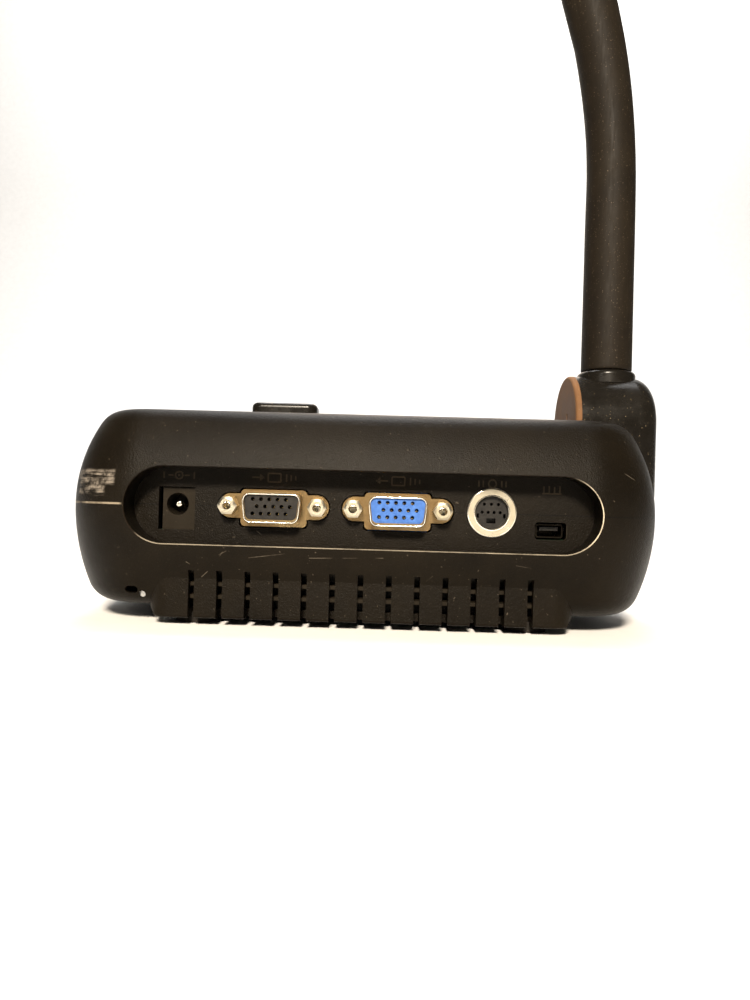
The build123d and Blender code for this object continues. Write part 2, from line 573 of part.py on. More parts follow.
def make_neck_block():
    """Hollow glossy block, open on its inner side, with a boss for the axle and one for
    the foot of the gooseneck."""
    block = neck_slab(0, NECK_X_OUT, NECK_X_IN - COVER_THICK)
    block = fillet(block.faces().sort_by(Axis.X)[0].edges(), NECK_OUTER_ROUND)
    block -= neck_slab(WALL, NECK_X_OUT + WALL + 2, NECK_X_IN)
    block += rod_x(PIVOT_Y, PIVOT_Z, NECK_X_OUT + WALL, NECK_X_IN - COVER_THICK, AXLE_RADIUS + 2.5)
    block += rod(NECK_X, PIVOT_Y, COLLAR_Z - 14, COLLAR_Z, COLLAR_RADIUS)
    block -= rod(NECK_X, PIVOT_Y, COLLAR_Z, NECK_TOP_Z + 5, COLLAR_RADIUS + 0.6)
    block -= rod(NECK_X, PIVOT_Y, COLLAR_Z - 14 - 1, COLLAR_Z + 1, CORE_RADIUS + 0.02)
    return block - rod_x(PIVOT_Y, PIVOT_Z, NECK_X_OUT + 4, NECK_X_IN + 1, AXLE_RADIUS)


def make_neck_cover():
    """Flat plate on the inner side, round the axle, with a short slot near its top."""
    cover = neck_slab(0, NECK_X_IN - COVER_THICK, NECK_X_IN)
    cover = fillet(cover.faces().sort_by(Axis.X)[-1].edges(), NECK_INNER_ROUND)
    cover -= rod_x(PIVOT_Y, PIVOT_Z, NECK_X_IN - 5, NECK_X_IN + 5, AXLE_RADIUS)
    mark_z = NECK_TOP_Z - NECK_HALF
    return cover - box(NECK_X_IN - 5, NECK_X_IN + 1, 3.0, 4.2, mark_z - 0.5, mark_z + 3.5)


def make_axle():
    return rod_x(PIVOT_Y, PIVOT_Z, NECK_X_OUT + 4, STACK_END + NUT_THICK + 1, AXLE_RADIUS)


def make_washers():
    solids = []
    for offset, thick, radius in WASHER_STACK:
        x0 = BRACKET_X0 + BRACKET_THICK + offset
        solids.append(rod_x(PIVOT_Y, PIVOT_Z, x0, x0 + thick, radius)
                      - rod_x(PIVOT_Y, PIVOT_Z, x0 - 1, x0 + thick + 1, AXLE_RADIUS))
    return Compound(children=[Part() + s for s in solids])


def make_nut():
    x0 = STACK_END
    nut = Pos(x0, PIVOT_Y, PIVOT_Z) * extrude(Plane.YZ * RegularPolygon(NUT_RADIUS, 6), NUT_THICK)
    return nut - rod_x(PIVOT_Y, PIVOT_Z, x0 - 1, x0 + NUT_THICK + 1, AXLE_RADIUS)


def make_bracket():
    """Steel plate behind the slot's wall that carries the axle, with a foot to the board."""
    x0, x1 = BRACKET_X0, BRACKET_X0 + BRACKET_THICK
    plate = box(x0, x1, -16, 14, BOARD_TOP + 1, PIVOT_Z + 12)
    plate = fillet(plate.edges().filter_by(Axis.X).sort_by(Axis.Z)[-2:], 8.0)
    return plate - rod_x(PIVOT_Y, PIVOT_Z, x0 - 1, x1 + 1, AXLE_RADIUS + AXLE_RUN)


def make_collar():
    collar = rod(NECK_X, PIVOT_Y, COLLAR_Z, NECK_START_Z, COLLAR_RADIUS)
    collar = fillet(collar.edges().sort_by(Axis.Z)[-1], 1.4)
    collar = fillet(collar.edges().sort_by(Axis.Z)[0], 0.5)
    return collar - rod(NECK_X, PIVOT_Y, COLLAR_Z - 1, NECK_START_Z + 1, CORE_RADIUS + 0.02)


save("neck_block", make_neck_block())
save("neck_cover", make_neck_cover())
save("neck_axle", make_axle())
save("friction_washers", make_washers())
save("axle_nut", make_nut())
save("hinge_bracket", make_bracket())
save("neck_collar", make_collar())


# ----------------------------------------------------------------- gooseneck
# The centre line lies in the plane Y = PIVOT_Y: straight up, then bending towards +X.
LINKS = [(length, 0) for length in STRAIGHT_LENGTHS]
LINKS += [(FIRST_BEND_LENGTH, FIRST_BEND_RADIUS)]
LINKS += [(ARCH_LINK_LENGTH, ARCH_RADIUS)] * ARCH_LINKS


def walk(start, angle, length, radius):
    """Where a run of the centre line ends. angle is measured from straight up."""
    x, z = start
    if radius == 0:
        return (x + length * math.sin(angle), z + length * math.cos(angle)), angle
    end = angle + length / radius
    return (x + radius * (math.cos(angle) - math.cos(end)),
            z + radius * (math.sin(end) - math.sin(angle))), end


def cross_plane(point, angle):
    """The plane across the centre line at a point."""
    return Plane(origin=(point[0], PIVOT_Y, point[1]),
                 x_dir=(math.cos(angle), 0, -math.sin(angle)),
                 z_dir=(math.sin(angle), 0, math.cos(angle)))


def tube(start, angle, radius, s0, s1, outer, bore):
    """A tube along one link, from s0 to s1 along its centre line."""
    point, a = walk(start, angle, s0, radius)
    ring = cross_plane(point, a) * (Circle(outer) - Circle(bore))
    if radius == 0:
        return extrude(ring, s1 - s0)
    centre = (point[0] + radius * math.cos(a), PIVOT_Y, point[1] - radius * math.sin(a))
    return revolve(ring, Axis(centre, (0, 1, 0)), math.degrees((s1 - s0) / radius))


def joint_ball(point, angle, radius):
    """The ball that starts a link, on a stalk that ends flat on the link's tube."""
    foot, a = walk(point, angle, CORE_GAP, radius)
    plane = cross_plane(foot, a)
    above = (Align.CENTER, Align.CENTER, Align.MIN)
    below = (Align.CENTER, Align.CENTER, Align.MAX)
    ball = Pos(point[0], PIVOT_Y, point[1]) * Sphere(BALL_RADIUS)
    ball -= plane * Cylinder(2 * BALL_RADIUS, 2 * BALL_RADIUS, align=above)
    ball += plane * Cylinder(CORE_NECK_RADIUS, CORE_GAP, align=below)
    return ball - plane * Cylinder(CORE_BORE, 4 * BALL_RADIUS, align=below)


def make_gooseneck():
    """Write every link's core and sleeve. Returns where the last link ends."""
    point, angle = (NECK_X, NECK_START_Z), 0.0
    last = len(LINKS) - 1
    for i, (length, radius) in enumerate(LINKS):
        end, end_angle = walk(point, angle, length, radius)
        first_core = CORE_GAP if i else COLLAR_Z - 12 - NECK_START_Z
        core = tube(point, angle, radius, first_core, length, CORE_RADIUS, CORE_BORE)
        if i:
            core += joint_ball(point, angle, radius)
        if i < last:
            core -= Pos(end[0], PIVOT_Y, end[1]) * Sphere(SOCKET_RADIUS)
        s0 = SLEEVE_GAP if i else 0.4
        s1 = length - SLEEVE_GAP if i < last else length
        save(f"gooseneck_core_{i}", core)
        save(f"gooseneck_sleeve_{i}",
             tube(point, angle, radius, s0, s1, SLEEVE_RADIUS, SLEEVE_BORE))
        print(f"link {i} starts at x {point[0]:.3f} z {point[1]:.3f}, angle "
              f"{math.degrees(angle):.3f}")
        point, angle = end, end_angle
    return point, angle


tip, tip_angle = make_gooseneck()
pivot, _ = walk(tip, tip_angle, YOKE_REACH, 0)
print(f"gooseneck tip at x {tip[0]:.3f} z {tip[1]:.3f}, angle {math.degrees(tip_angle):.3f}")
print(f"head pivot at x {pivot[0]:.3f} z {pivot[1]:.3f}")


# --------------------------------------------------------------- camera head
HEAD_X, HEAD_Z = pivot
HEAD_BOTTOM = HEAD_Z - HEAD_BELOW
LAMP_Z = HEAD_Z - LAMP_BUTTON_DROP


def make_yoke():
    """Ferrule end and a flat tongue that reaches into the head."""
    plane = cross_plane(tip, tip_angle)
    yoke = plane * Pos(0, 0, 2.5) * Cylinder(SLEEVE_RADIUS + 0.6, 5.0)
    yoke += plane * Pos(0, 0, 4.5 + (YOKE_REACH - 4.5) / 2) * Box(11.0, TONGUE_THICK, YOKE_REACH - 4.5)
    yoke += rod_y(HEAD_X, HEAD_Z, -TONGUE_THICK / 2, TONGUE_THICK / 2, 5.5)
    return yoke - rod_y(HEAD_X, HEAD_Z, -TONGUE_THICK, TONGUE_THICK, PIN_RADIUS + AXLE_RUN)


def make_head_shell():
    """Round upright shell with a slot at its top for the tongue."""
    z1 = HEAD_Z + HEAD_ABOVE
    shell = rod(HEAD_X, 0, HEAD_BOTTOM, z1, HEAD_RADIUS)
    shell = fillet(shell.edges().sort_by(Axis.Z)[-1], 7.0)
    shell -= rod(HEAD_X, 0, HEAD_BOTTOM - 1, HEAD_Z - 10, HEAD_RADIUS - 2)
    half_slot = TONGUE_THICK / 2 + HEAD_GAP
    shell -= box(HEAD_X - HEAD_RADIUS - 1, HEAD_X + 7.5, -half_slot, half_slot,
                 HEAD_Z - 6.5, z1 + 1)
    shell -= rod_y(HEAD_X, HEAD_Z, -HEAD_RADIUS + 3, HEAD_RADIUS - 3, PIN_RADIUS)
    return shell - rod_x(0, LAMP_Z, HEAD_X + 10, HEAD_X + 20, LAMP_BUTTON_RADIUS + 0.3)


def make_bezel():
    """Round front plate with a hole for the lens and six for the lamps."""
    z0 = HEAD_BOTTOM
    plate = rod(HEAD_X, 0, z0, z0 + BEZEL_THICK, HEAD_RADIUS - 2)
    plate -= rod(HEAD_X, 0, z0 - 1, z0 + 5, 9.0)
    for x, y in lamp_places():
        plate -= rod(x, y, z0 - 1, z0 + 5, 1.3)
    return plate


def lamp_places():
    """Lamps on a circle just outside the focus ring."""
    turns = [2 * math.pi * i / LAMP_COUNT for i in range(LAMP_COUNT)]
    return [(HEAD_X + LAMP_CIRCLE * math.cos(a), LAMP_CIRCLE * math.sin(a)) for a in turns]


def make_lamps():
    z0 = HEAD_BOTTOM
    solids = [rod(x, y, z0 + 0.2, z0 + 4.0, 1.2) for x, y in lamp_places()]
    return Compound(children=[Part() + s for s in solids])


def make_lens():
    """Barrel through the bezel and a domed front glass."""
    z0, z1 = HEAD_BOTTOM - FOCUS_LENGTH + 1, HEAD_BOTTOM + 16
    barrel = rod(HEAD_X, 0, z0, z1, 8.95) - rod(HEAD_X, 0, z0 - 1, z1 - 1, LENS_RADIUS)
    glass = rod(HEAD_X, 0, z0 + 1.0, z0 + 4.0, LENS_RADIUS - 0.02)
    glass &= Pos(HEAD_X, 0, z0 + 1.0 + 16) * Sphere(16)
    return barrel, glass


def make_focus_ring():
    z0, z1 = HEAD_BOTTOM - FOCUS_LENGTH, HEAD_BOTTOM - 0.4
    ring = rod(HEAD_X, 0, z0, z1, FOCUS_RADIUS) - rod(HEAD_X, 0, z0 - 1, z1 + 1, 9.0)
    for i in range(24):
        a = math.radians(15 * i)
        ring -= rod(HEAD_X + FOCUS_RADIUS * math.cos(a), FOCUS_RADIUS * math.sin(a),
                    z0 + 1.5, z1 - 1.5, 0.6)
    return ring


def make_lamp_button():
    x_out = HEAD_X + HEAD_RADIUS + LAMP_BUTTON_PROUD
    button = rod_x(0, LAMP_Z, HEAD_X + HEAD_RADIUS - 3.4, x_out, LAMP_BUTTON_RADIUS)
    return fillet(button.edges().sort_by(Axis.X)[-1], 0.6)


def make_sensor_board():
    z0 = HEAD_BOTTOM + 16.2
    return rod(HEAD_X, 0, z0, z0 + 1.6, 11.0)


save("head_yoke", make_yoke())
save("yoke_pin", rod_y(HEAD_X, HEAD_Z, -HEAD_RADIUS + 3, HEAD_RADIUS - 3, PIN_RADIUS))
save("head_shell", make_head_shell())
save("head_bezel", make_bezel())
save("head_lamps", make_lamps())
lens_barrel, lens_glass = make_lens()
save("lens_barrel", lens_barrel)
save("lens_glass", lens_glass)
save("focus_ring", make_focus_ring())
save("lamp_button", make_lamp_button())
save("sensor_board", make_sensor_board())
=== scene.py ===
# %% [markdown]
# # A document camera, finished in Blender
# The object is a portable document camera: a bar-shaped base of dark moulded plastic, a row of
# sockets sunk in its rear face, a glossy neck block that folds at one end, and a rubber-sleeved
# gooseneck that carries the camera head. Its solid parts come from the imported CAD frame, already
# in place and in metres. This lesson adds the finishes and the small pieces that a solid model
# leaves plain. The frame comes first, because every later place is measured from it.

# %% Load the frame
import math

import bmesh
import bpy
from mathutils import Matrix, Vector


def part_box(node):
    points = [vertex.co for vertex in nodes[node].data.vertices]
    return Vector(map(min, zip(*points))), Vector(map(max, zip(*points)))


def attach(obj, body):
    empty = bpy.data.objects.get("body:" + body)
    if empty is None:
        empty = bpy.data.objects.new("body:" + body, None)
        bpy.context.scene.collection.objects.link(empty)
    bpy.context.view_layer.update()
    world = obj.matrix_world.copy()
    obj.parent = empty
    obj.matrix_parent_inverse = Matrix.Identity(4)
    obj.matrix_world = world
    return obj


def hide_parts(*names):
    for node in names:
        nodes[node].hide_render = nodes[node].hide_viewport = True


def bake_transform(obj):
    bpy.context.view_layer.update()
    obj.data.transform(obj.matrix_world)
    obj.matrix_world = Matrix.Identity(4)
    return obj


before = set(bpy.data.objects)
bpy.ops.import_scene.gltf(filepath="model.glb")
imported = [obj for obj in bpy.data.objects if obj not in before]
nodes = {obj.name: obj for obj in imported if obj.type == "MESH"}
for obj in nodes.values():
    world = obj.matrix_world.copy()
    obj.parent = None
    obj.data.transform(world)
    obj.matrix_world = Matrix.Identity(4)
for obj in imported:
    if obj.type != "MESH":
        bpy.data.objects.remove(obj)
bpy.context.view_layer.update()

# %% [markdown]
# The real parts are dimensioned in millimetres, and Blender works in metres, so one constant turns
# one into the other. The places that several steps share are read from the CAD boxes: the parting
# line is where the two shell halves meet, and the socket panel is the plane that the sockets' flanges lie on.

# %% Shared places
MM = 0.001
shell_low, shell_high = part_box("top_housing")
SEAM_Z = shell_low.z
REAR_Y = shell_high.y
TOP_Z = shell_high.z
RECESS_DEPTH = 10.0 * MM
PANEL_Y = REAR_Y - RECESS_DEPTH
print("seam", round(SEAM_Z / MM, 2), "panel", round(PANEL_Y / MM, 2), "top", round(TOP_Z / MM, 2))

# %% [markdown]
# A finish is a small tree of nodes. Typing every node out in full hides the idea, so three helpers
# carry the routine: one starts a material, one adds a node with its settings, and one adds a link.
# Values that are the same all over a surface are always typed straight into the shader's sockets.

# %% Node helpers
def new_finish(name, **settings):
    material = bpy.data.materials.new(name)
    material.use_nodes = True
    tree = material.node_tree
    shader = tree.nodes["Principled BSDF"]
    for socket, value in settings.items():
        shader.inputs[socket.replace("_", " ")].default_value = value
    return material, tree, shader


def add(tree, kind, inputs=None, **properties):
    made = tree.nodes.new(kind)
    for key, value in properties.items():
        setattr(made, key, value)
    for key, value in (inputs or {}).items():
        made.inputs[key].default_value = value
    return made


def link(tree, source, target):
    tree.links.new(source, target)


def rgb(red, green, blue):
    """A colour as a designer names it, from 0 to 255, turned into the linear values that the shader needs."""
    shares = (value / 255 for value in (red, green, blue))
    linear = [c / 12.92 if c <= 0.04045 else ((c + 0.055) / 1.055) ** 2.4 for c in shares]
    return (*linear, 1.0)


# %% [markdown]
# Most finishes share three ingredients: a noise that varies the colour, a noise that varies the
# roughness, and a height for the bump. Each has its own helper. The coordinates are the object's
# own, in metres, so a scale of 1000 gives a feature a millimetre across on every piece alike.

# %% Ingredients
def place(tree):
    return add(tree, "ShaderNodeTexCoord").outputs["Object"]


def noise(tree, where, scale, detail=3.0, rough=0.5, stretch=None):
    if stretch:
        mapping = add(tree, "ShaderNodeMapping", {"Scale": stretch})
        link(tree, where, mapping.inputs["Vector"])
        where = mapping.outputs["Vector"]
    made = add(tree, "ShaderNodeTexNoise", {"Scale": scale, "Detail": detail, "Roughness": rough})
    link(tree, where, made.inputs["Vector"])
    return made.outputs["Fac"]


def ramp(tree, value, low, high, out_low=0.0, out_high=1.0):
    limits = {"From Min": low, "From Max": high, "To Min": out_low, "To Max": out_high}
    made = add(tree, "ShaderNodeMapRange", limits)
    link(tree, value, made.inputs["Value"])
    return made.outputs["Result"]


def mix(tree, share, first, second):
    """Colour first turned into second by share; a colour is a tuple or a socket."""
    made = add(tree, "ShaderNodeMix", data_type="RGBA")
    link(tree, share, made.inputs[0])
    for socket, value in ((made.inputs[6], first), (made.inputs[7], second)):
        if isinstance(value, tuple):
            socket.default_value = value
        else:
            link(tree, value, socket)
    return made.outputs[2]


def math_node(tree, kind, first, second=None):
    made = add(tree, "ShaderNodeMath", operation=kind)
    for socket, value in zip(made.inputs, (first, second)):
        if isinstance(value, (int, float)):
            socket.default_value = value
        elif value is not None:
            link(tree, value, socket)
    return made.outputs["Value"]


def bump(tree, shader, height, depth, strength=1.0):
    made = add(tree, "ShaderNodeBump", {"Distance": depth, "Strength": strength})
    link(tree, height, made.inputs["Height"])
    link(tree, made.outputs["Normal"], shader.inputs["Normal"])


# %% [markdown]
# Moulded housings like this one come out of a tool whose steel was spark-eroded, which leaves a
# fine pitted grain. The grain is bump at about a third of a millimetre. The colour drifts a little
# over centimetres, because the plastic was handled and dusted, and the gloss drifts with it.

# %% Spark-eroded plastic
def sparked_plastic(name, dark, light, rough_low=0.3, rough_high=0.4, grain=2300.0, depth=0.15 * MM):
    material, tree, shader = new_finish(name, Specular_IOR_Level=0.06)
    where = place(tree)
    drift = ramp(tree, noise(tree, where, 38.0, 4.0, 0.6), 0.35, 0.68)
    pits = noise(tree, where, grain, 3.0, 0.62)
    colour = mix(tree, drift, dark, light)
    flecks = ramp(tree, noise(tree, where, 1300.0, 2.0, 0.5), 0.72, 0.77, 0.0, 0.22)
    colour = mix(tree, flecks, colour, rgb(140, 128, 112))
    rough = ramp(tree, noise(tree, where, 120.0, 5.0, 0.7), 0.3, 0.7, rough_low, rough_high)
    link(tree, rough, shader.inputs["Roughness"])
    bump(tree, shader, pits, depth)
    return material, tree, shader, where, colour


# %% [markdown]
# The shell needs more than the grain. A thin dark parting line runs round it where the halves meet,
# and at one end a broken pale line on the lips of its groove is a painted highlight; hair scratches
# cross the lower half; and one end carries a pale scuff where it has been knocked. These are masks in
# the shell's own coordinates: each mask says how near a point is to a line or a patch, and the colour follows it.

# %% Masks for wear
def line_mask(tree, flat, start, end, width):
    """1 on the line from start to end (x, z, in metres), falling to 0 at width; flat has its y removed."""
    x0, z0, x1, z1 = *start, *end
    along = Vector((x1 - x0, 0, z1 - z0))
    offset = add(tree, "ShaderNodeVectorMath", operation="SUBTRACT")
    link(tree, flat, offset.inputs[0])
    offset.inputs[1].default_value = (x0, 0, z0)
    share = add(tree, "ShaderNodeVectorMath", operation="DOT_PRODUCT")
    link(tree, offset.outputs[0], share.inputs[0])
    share.inputs[1].default_value = along / along.length_squared
    held = add(tree, "ShaderNodeClamp")
    link(tree, share.outputs["Value"], held.inputs["Value"])
    nearest = add(tree, "ShaderNodeVectorMath", operation="SCALE")
    nearest.inputs[0].default_value = along
    link(tree, held.outputs["Result"], nearest.inputs["Scale"])
    gap = add(tree, "ShaderNodeVectorMath", operation="DISTANCE")
    link(tree, offset.outputs[0], gap.inputs[0])
    link(tree, nearest.outputs[0], gap.inputs[1])
    return ramp(tree, gap.outputs["Value"], width, width * 0.3)


def patch_mask(tree, axes, centre, half, soft):
    """1 inside a box of half sizes about centre (x, y, z), falling to 0 over soft."""
    share = None
    for axis, middle, reach in zip("XYZ", centre, half):
        offset = math_node(tree, "ABSOLUTE", math_node(tree, "SUBTRACT", axes.outputs[axis], middle))
        inside = ramp(tree, offset, reach + soft, reach)
        share = inside if share is None else math_node(tree, "MULTIPLY", share, inside)
    return share


# %% The housing's finish
SCRATCHES = [                       # (x, z) of each end, in millimetres
    ((43.5, 13.5), (41.8, 15.1)), ((39.0, 19.6), (36.6, 20.9)), ((38.4, 19.4), (37.6, 20.6)),
    ((30.5, 19.2), (20.6, 20.6)), ((29.9, 26.2), (27.3, 24.2)), ((14.0, 19.6), (-6.0, 20.2)),
    ((-71.2, 45.0), (-74.5, 43.3)), ((47.6, 17.6), (46.6, 17.0)), ((45.9, 10.6), (46.3, 8.6)),
    ((-42.0, 19.2), (-47.5, 18.4)), ((-18.0, 14.2), (-19.6, 15.6)),
]
SCUFFS = [                          # middle (x, z) and half size, in millimetres
    ((74.5, 41.0), (6.4, 0.7)), ((75.5, 36.6), (4.4, 0.8)), ((74.2, 38.6), (1.1, 3.0)),
    ((69.8, 39.6), (1.6, 0.9)), ((77.5, 39.2), (2.4, 0.5)),
]
SEAM_WIDTH = 0.15 * MM


def housing_finish():
    dark, light = rgb(14, 11, 7), rgb(21, 17, 11)
    material, tree, shader, where, colour = sparked_plastic("sparked_charcoal", dark, light)
    axes = add(tree, "ShaderNodeSeparateXYZ")
    link(tree, where, axes.inputs["Vector"])
    flat = add(tree, "ShaderNodeVectorMath", operation="MULTIPLY")
    link(tree, where, flat.inputs[0])
    flat.inputs[1].default_value = (1, 0, 1)
    rear = ramp(tree, axes.outputs["Y"], 0.0, 5 * MM)

    hairs = None
    for start, end in SCRATCHES:
        mask = line_mask(tree, flat.outputs[0], [v * MM for v in start], [v * MM for v in end], 0.12 * MM)
        hairs = mask if hairs is None else math_node(tree, "MAXIMUM", hairs, mask)
    broken = ramp(tree, noise(tree, where, 240.0, 2.0), 0.42, 0.6)
    hairs = math_node(tree, "MULTIPLY", math_node(tree, "MULTIPLY", hairs, broken), rear)
    colour = mix(tree, math_node(tree, "MULTIPLY", hairs, 0.34), colour, rgb(128, 118, 104))

    streaks = ramp(tree, noise(tree, where, 700.0, 3.0, 0.6, stretch=(0.16, 0.2, 1.8)), 0.4, 0.62)
    patches = ramp(tree, noise(tree, where, 330.0, 3.0, 0.6), 0.38, 0.56)
    rub_and_sheen_breakup = math_node(tree, "MULTIPLY", streaks, patches)
    scuff = None
    for (x, z), (half_x, half_z) in SCUFFS:
        centre, half = (x * MM, 35 * MM, z * MM), (half_x * MM, 30 * MM, half_z * MM)
        mask = patch_mask(tree, axes, centre, half, 0.9 * MM)
        scuff = mask if scuff is None else math_node(tree, "MAXIMUM", scuff, mask)
    scuff = math_node(tree, "MULTIPLY", scuff, rub_and_sheen_breakup)
    colour = mix(tree, math_node(tree, "MULTIPLY", scuff, 0.5), colour, rgb(150, 140, 128))

    # A broken pale line on the lips of the parting line, only towards the +X end, is a painted highlight; the dark
    # line is the joint itself.
    level = math_node(tree, "ABSOLUTE", math_node(tree, "SUBTRACT", axes.outputs["Z"], SEAM_Z))
    seam = ramp(tree, level, SEAM_WIDTH, SEAM_WIDTH * 0.5)
    broken_sheen = ramp(tree, noise(tree, where, 90.0, 3.0, 0.6, stretch=(1, 1, 0.1)), 0.36, 0.5)
    near_end = ramp(tree, axes.outputs["X"], 65 * MM, 66 * MM)
    lit = ramp(tree, level, SEAM_WIDTH * 2.2, SEAM_WIDTH * 1.2)
    shade = ramp(tree, near_end, 0.0, 1.0, 0.0, 0.75)
    bright = math_node(tree, "MULTIPLY", lit, math_node(tree, "MULTIPLY", broken_sheen, shade))
    colour = mix(tree, seam, colour, rgb(7, 6, 5))
    colour = mix(tree, bright, colour, rgb(140, 128, 110))
    link(tree, colour, shader.inputs["Base Color"])
    return material


HOUSING = housing_finish()
print("housing finish has", len(HOUSING.node_tree.nodes), "nodes")

# %% [markdown]
# The neck block, the buttons and the collar are moulded in a polished tool and wiped by hands, so
# they are black with a strong but smudged gloss: low roughness, broken by soft finger marks and
# very fine rub lines. A clear coat would look lacquered, so the gloss comes from roughness alone.

# %% Glossy black
def gloss_finish(name, tone, rough_low, rough_high, level=0.2):
    material, tree, shader = new_finish(name, Specular_IOR_Level=level)
    where = place(tree)
    smudge = noise(tree, where, 95.0, 6.0, 0.65)
    rubs = noise(tree, where, 900.0, 2.0, 0.5, stretch=(0.15, 1.0, 1.0))
    colour = mix(tree, ramp(tree, smudge, 0.4, 0.7), tone, tuple(c * 1.5 for c in tone[:3]) + (1.0,))
    dust = ramp(tree, noise(tree, where, 1900.0, 1.0), 0.74, 0.78, 0.0, 0.5)
    link(tree, mix(tree, dust, colour, rgb(160, 142, 112)), shader.inputs["Base Color"])
    smeared = ramp(tree, smudge, 0.35, 0.7, rough_low, rough_high)
    rough = math_node(tree, "ADD", smeared, math_node(tree, "MULTIPLY", rubs, 0.05))
    link(tree, rough, shader.inputs["Roughness"])
    bump(tree, shader, rubs, 0.006 * MM)
    return material


GLOSS = gloss_finish("gloss_black", rgb(17, 15, 12), 0.16, 0.32)
# The neck cover is black gloss like the block, but it is painted a warm umber: painted warm light where its face
# catches the lamps.
COVER_PAINTED_WARM_LIGHT = gloss_finish("gloss_umber_painted_light", rgb(92, 66, 44), 0.5, 0.62, 0.06)

# %% [markdown]
# The gooseneck's sleeve is extruded rubber: matte, a little browner than the shell, with faint
# drawn lines along its length and a bloom of dust. The feet are softer rubber of the same kind.

# %% Rubbers
def rubber_finish(name, dark, light, rough, along):
    material, tree, shader = new_finish(name, Specular_IOR_Level=0.09)
    where = place(tree)
    bloom = ramp(tree, noise(tree, where, 60.0, 5.0, 0.65), 0.35, 0.7)
    drawn = noise(tree, where, 1500.0, 3.0, 0.6, stretch=along)
    colour = mix(tree, bloom, dark, light)
    colour = mix(tree, ramp(tree, noise(tree, where, 2300.0, 1.0), 0.7, 0.76, 0.0, 0.3), colour, rgb(128, 112, 92))
    link(tree, colour, shader.inputs["Base Color"])
    link(tree, ramp(tree, drawn, 0.3, 0.7, rough - 0.08, rough + 0.08), shader.inputs["Roughness"])
    bump(tree, shader, drawn, 0.03 * MM)
    return material


SLEEVE_RUBBER = rubber_finish("sleeve_rubber", rgb(20, 16, 11), rgb(27, 22, 15), 0.6, (1.0, 1.0, 0.12))
FOOT_RUBBER = rubber_finish("foot_rubber", rgb(24, 22, 20), rgb(34, 31, 28), 0.78, (1.0, 1.0, 1.0))

# %% [markdown]
# Several metals show. The video sockets have a warm nickel plate, dulled with age. The round
# socket and the jackscrews are tin-plated and paler, with brighter rims and lips. The screws, the
# axle and the core links are plain steel with turning marks. All are fully metallic: what makes them read as metal is how the roughness breaks up.

# %% Metals
def metal_finish(name, pale, dull, rough_low, rough_high, turned=(1.0, 1.0, 1.0), depth=0.012 * MM):
    material, tree, shader = new_finish(name, Metallic=1.0)
    where = place(tree)
    cloud = ramp(tree, noise(tree, where, 130.0, 4.0, 0.6), 0.35, 0.7)
    marks = noise(tree, where, 3000.0, 3.0, 0.6, stretch=turned)
    colour = mix(tree, cloud, pale, dull)
    stains = ramp(tree, noise(tree, where, 700.0, 4.0, 0.7), 0.62, 0.8, 0.0, 0.35)
    link(tree, mix(tree, stains, colour, rgb(96, 78, 52)), shader.inputs["Base Color"])
    link(tree, ramp(tree, cloud, 0.0, 1.0, rough_low, rough_high), shader.inputs["Roughness"])
    bump(tree, shader, marks, depth)
    return material


NICKEL = metal_finish("warm_nickel", rgb(140, 120, 86), rgb(104, 84, 56), 0.26, 0.38)
TIN = metal_finish("tin_plate", rgb(208, 200, 180), rgb(176, 166, 142), 0.26, 0.36)
BRIGHT_TIN = metal_finish("bright_tin", rgb(236, 232, 220), rgb(214, 206, 190), 0.12, 0.2)
# The data socket's shell is painted near black: painted shade for where it sits deep in its opening.
METAL_PAINTED_SHADE = metal_finish("metal_painted_shade", rgb(30, 27, 22), rgb(18, 16, 13), 0.35, 0.5)
STEEL = metal_finish("turned_steel", rgb(190, 190, 188), rgb(150, 149, 146), 0.28, 0.45, turned=(1.0, 1.0, 0.1))
ALUMINIUM = metal_finish("cast_aluminium", rgb(200, 202, 204), rgb(170, 172, 175), 0.4, 0.55, depth=0.03 * MM)
GOLD = metal_finish("gold_contact", rgb(206, 176, 116), rgb(150, 122, 72), 0.2, 0.32)

# %% [markdown]
# The socket inserts are glass-filled nylon, one black and one blue: even colour with a faint
# mottle, and a satin surface. The circuit boards have solder mask over copper, so the green is
# darker where there is no copper beneath; a brick pattern stands for the tracks.

# %% Inserts and boards
def insert_finish(name, tone, pale, rough):
    material, tree, shader = new_finish(name, Specular_IOR_Level=0.25)
    where = place(tree)
    mottle = ramp(tree, noise(tree, where, 700.0, 5.0, 0.7), 0.35, 0.68)
    link(tree, mix(tree, mottle, tone, pale), shader.inputs["Base Color"])
    link(tree, ramp(tree, mottle, 0.0, 1.0, rough - 0.06, rough + 0.08), shader.inputs["Roughness"])
    bump(tree, shader, noise(tree, where, 4200.0, 2.0), 0.01 * MM)
    return material


def board_finish():
    material, tree, shader = new_finish("green_board", Specular_IOR_Level=0.5)
    where = place(tree)
    layout = {"Scale": 240.0, "Mortar Size": 0.012, "Brick Width": 0.9, "Row Height": 0.22}
    tracks = add(tree, "ShaderNodeTexBrick", layout)
    link(tree, where, tracks.inputs["Vector"])
    cover = mix(tree, ramp(tree, noise(tree, where, 150.0), 0.4, 0.6), rgb(9, 36, 24), rgb(12, 46, 30))
    link(tree, mix(tree, tracks.outputs["Fac"], cover, rgb(26, 78, 50)), shader.inputs["Base Color"])
    link(tree, ramp(tree, noise(tree, where, 500.0), 0.3, 0.7, 0.28, 0.42), shader.inputs["Roughness"])
    bump(tree, shader, tracks.outputs["Fac"], 0.03 * MM)
    return material


BLACK_INSERT = insert_finish("black_insert", rgb(15, 13, 11), rgb(24, 21, 17), 0.42)
BLUE_INSERT = insert_finish("blue_insert", rgb(44, 82, 146), rgb(58, 100, 166), 0.42)
BOARD = board_finish()

# %% [markdown]
# Glass closes the lens, with a faint violet coating that only shows in its reflection, and clear
# acrylic covers the lamps. Both are Principled shaders with full transmission, slightly uneven.

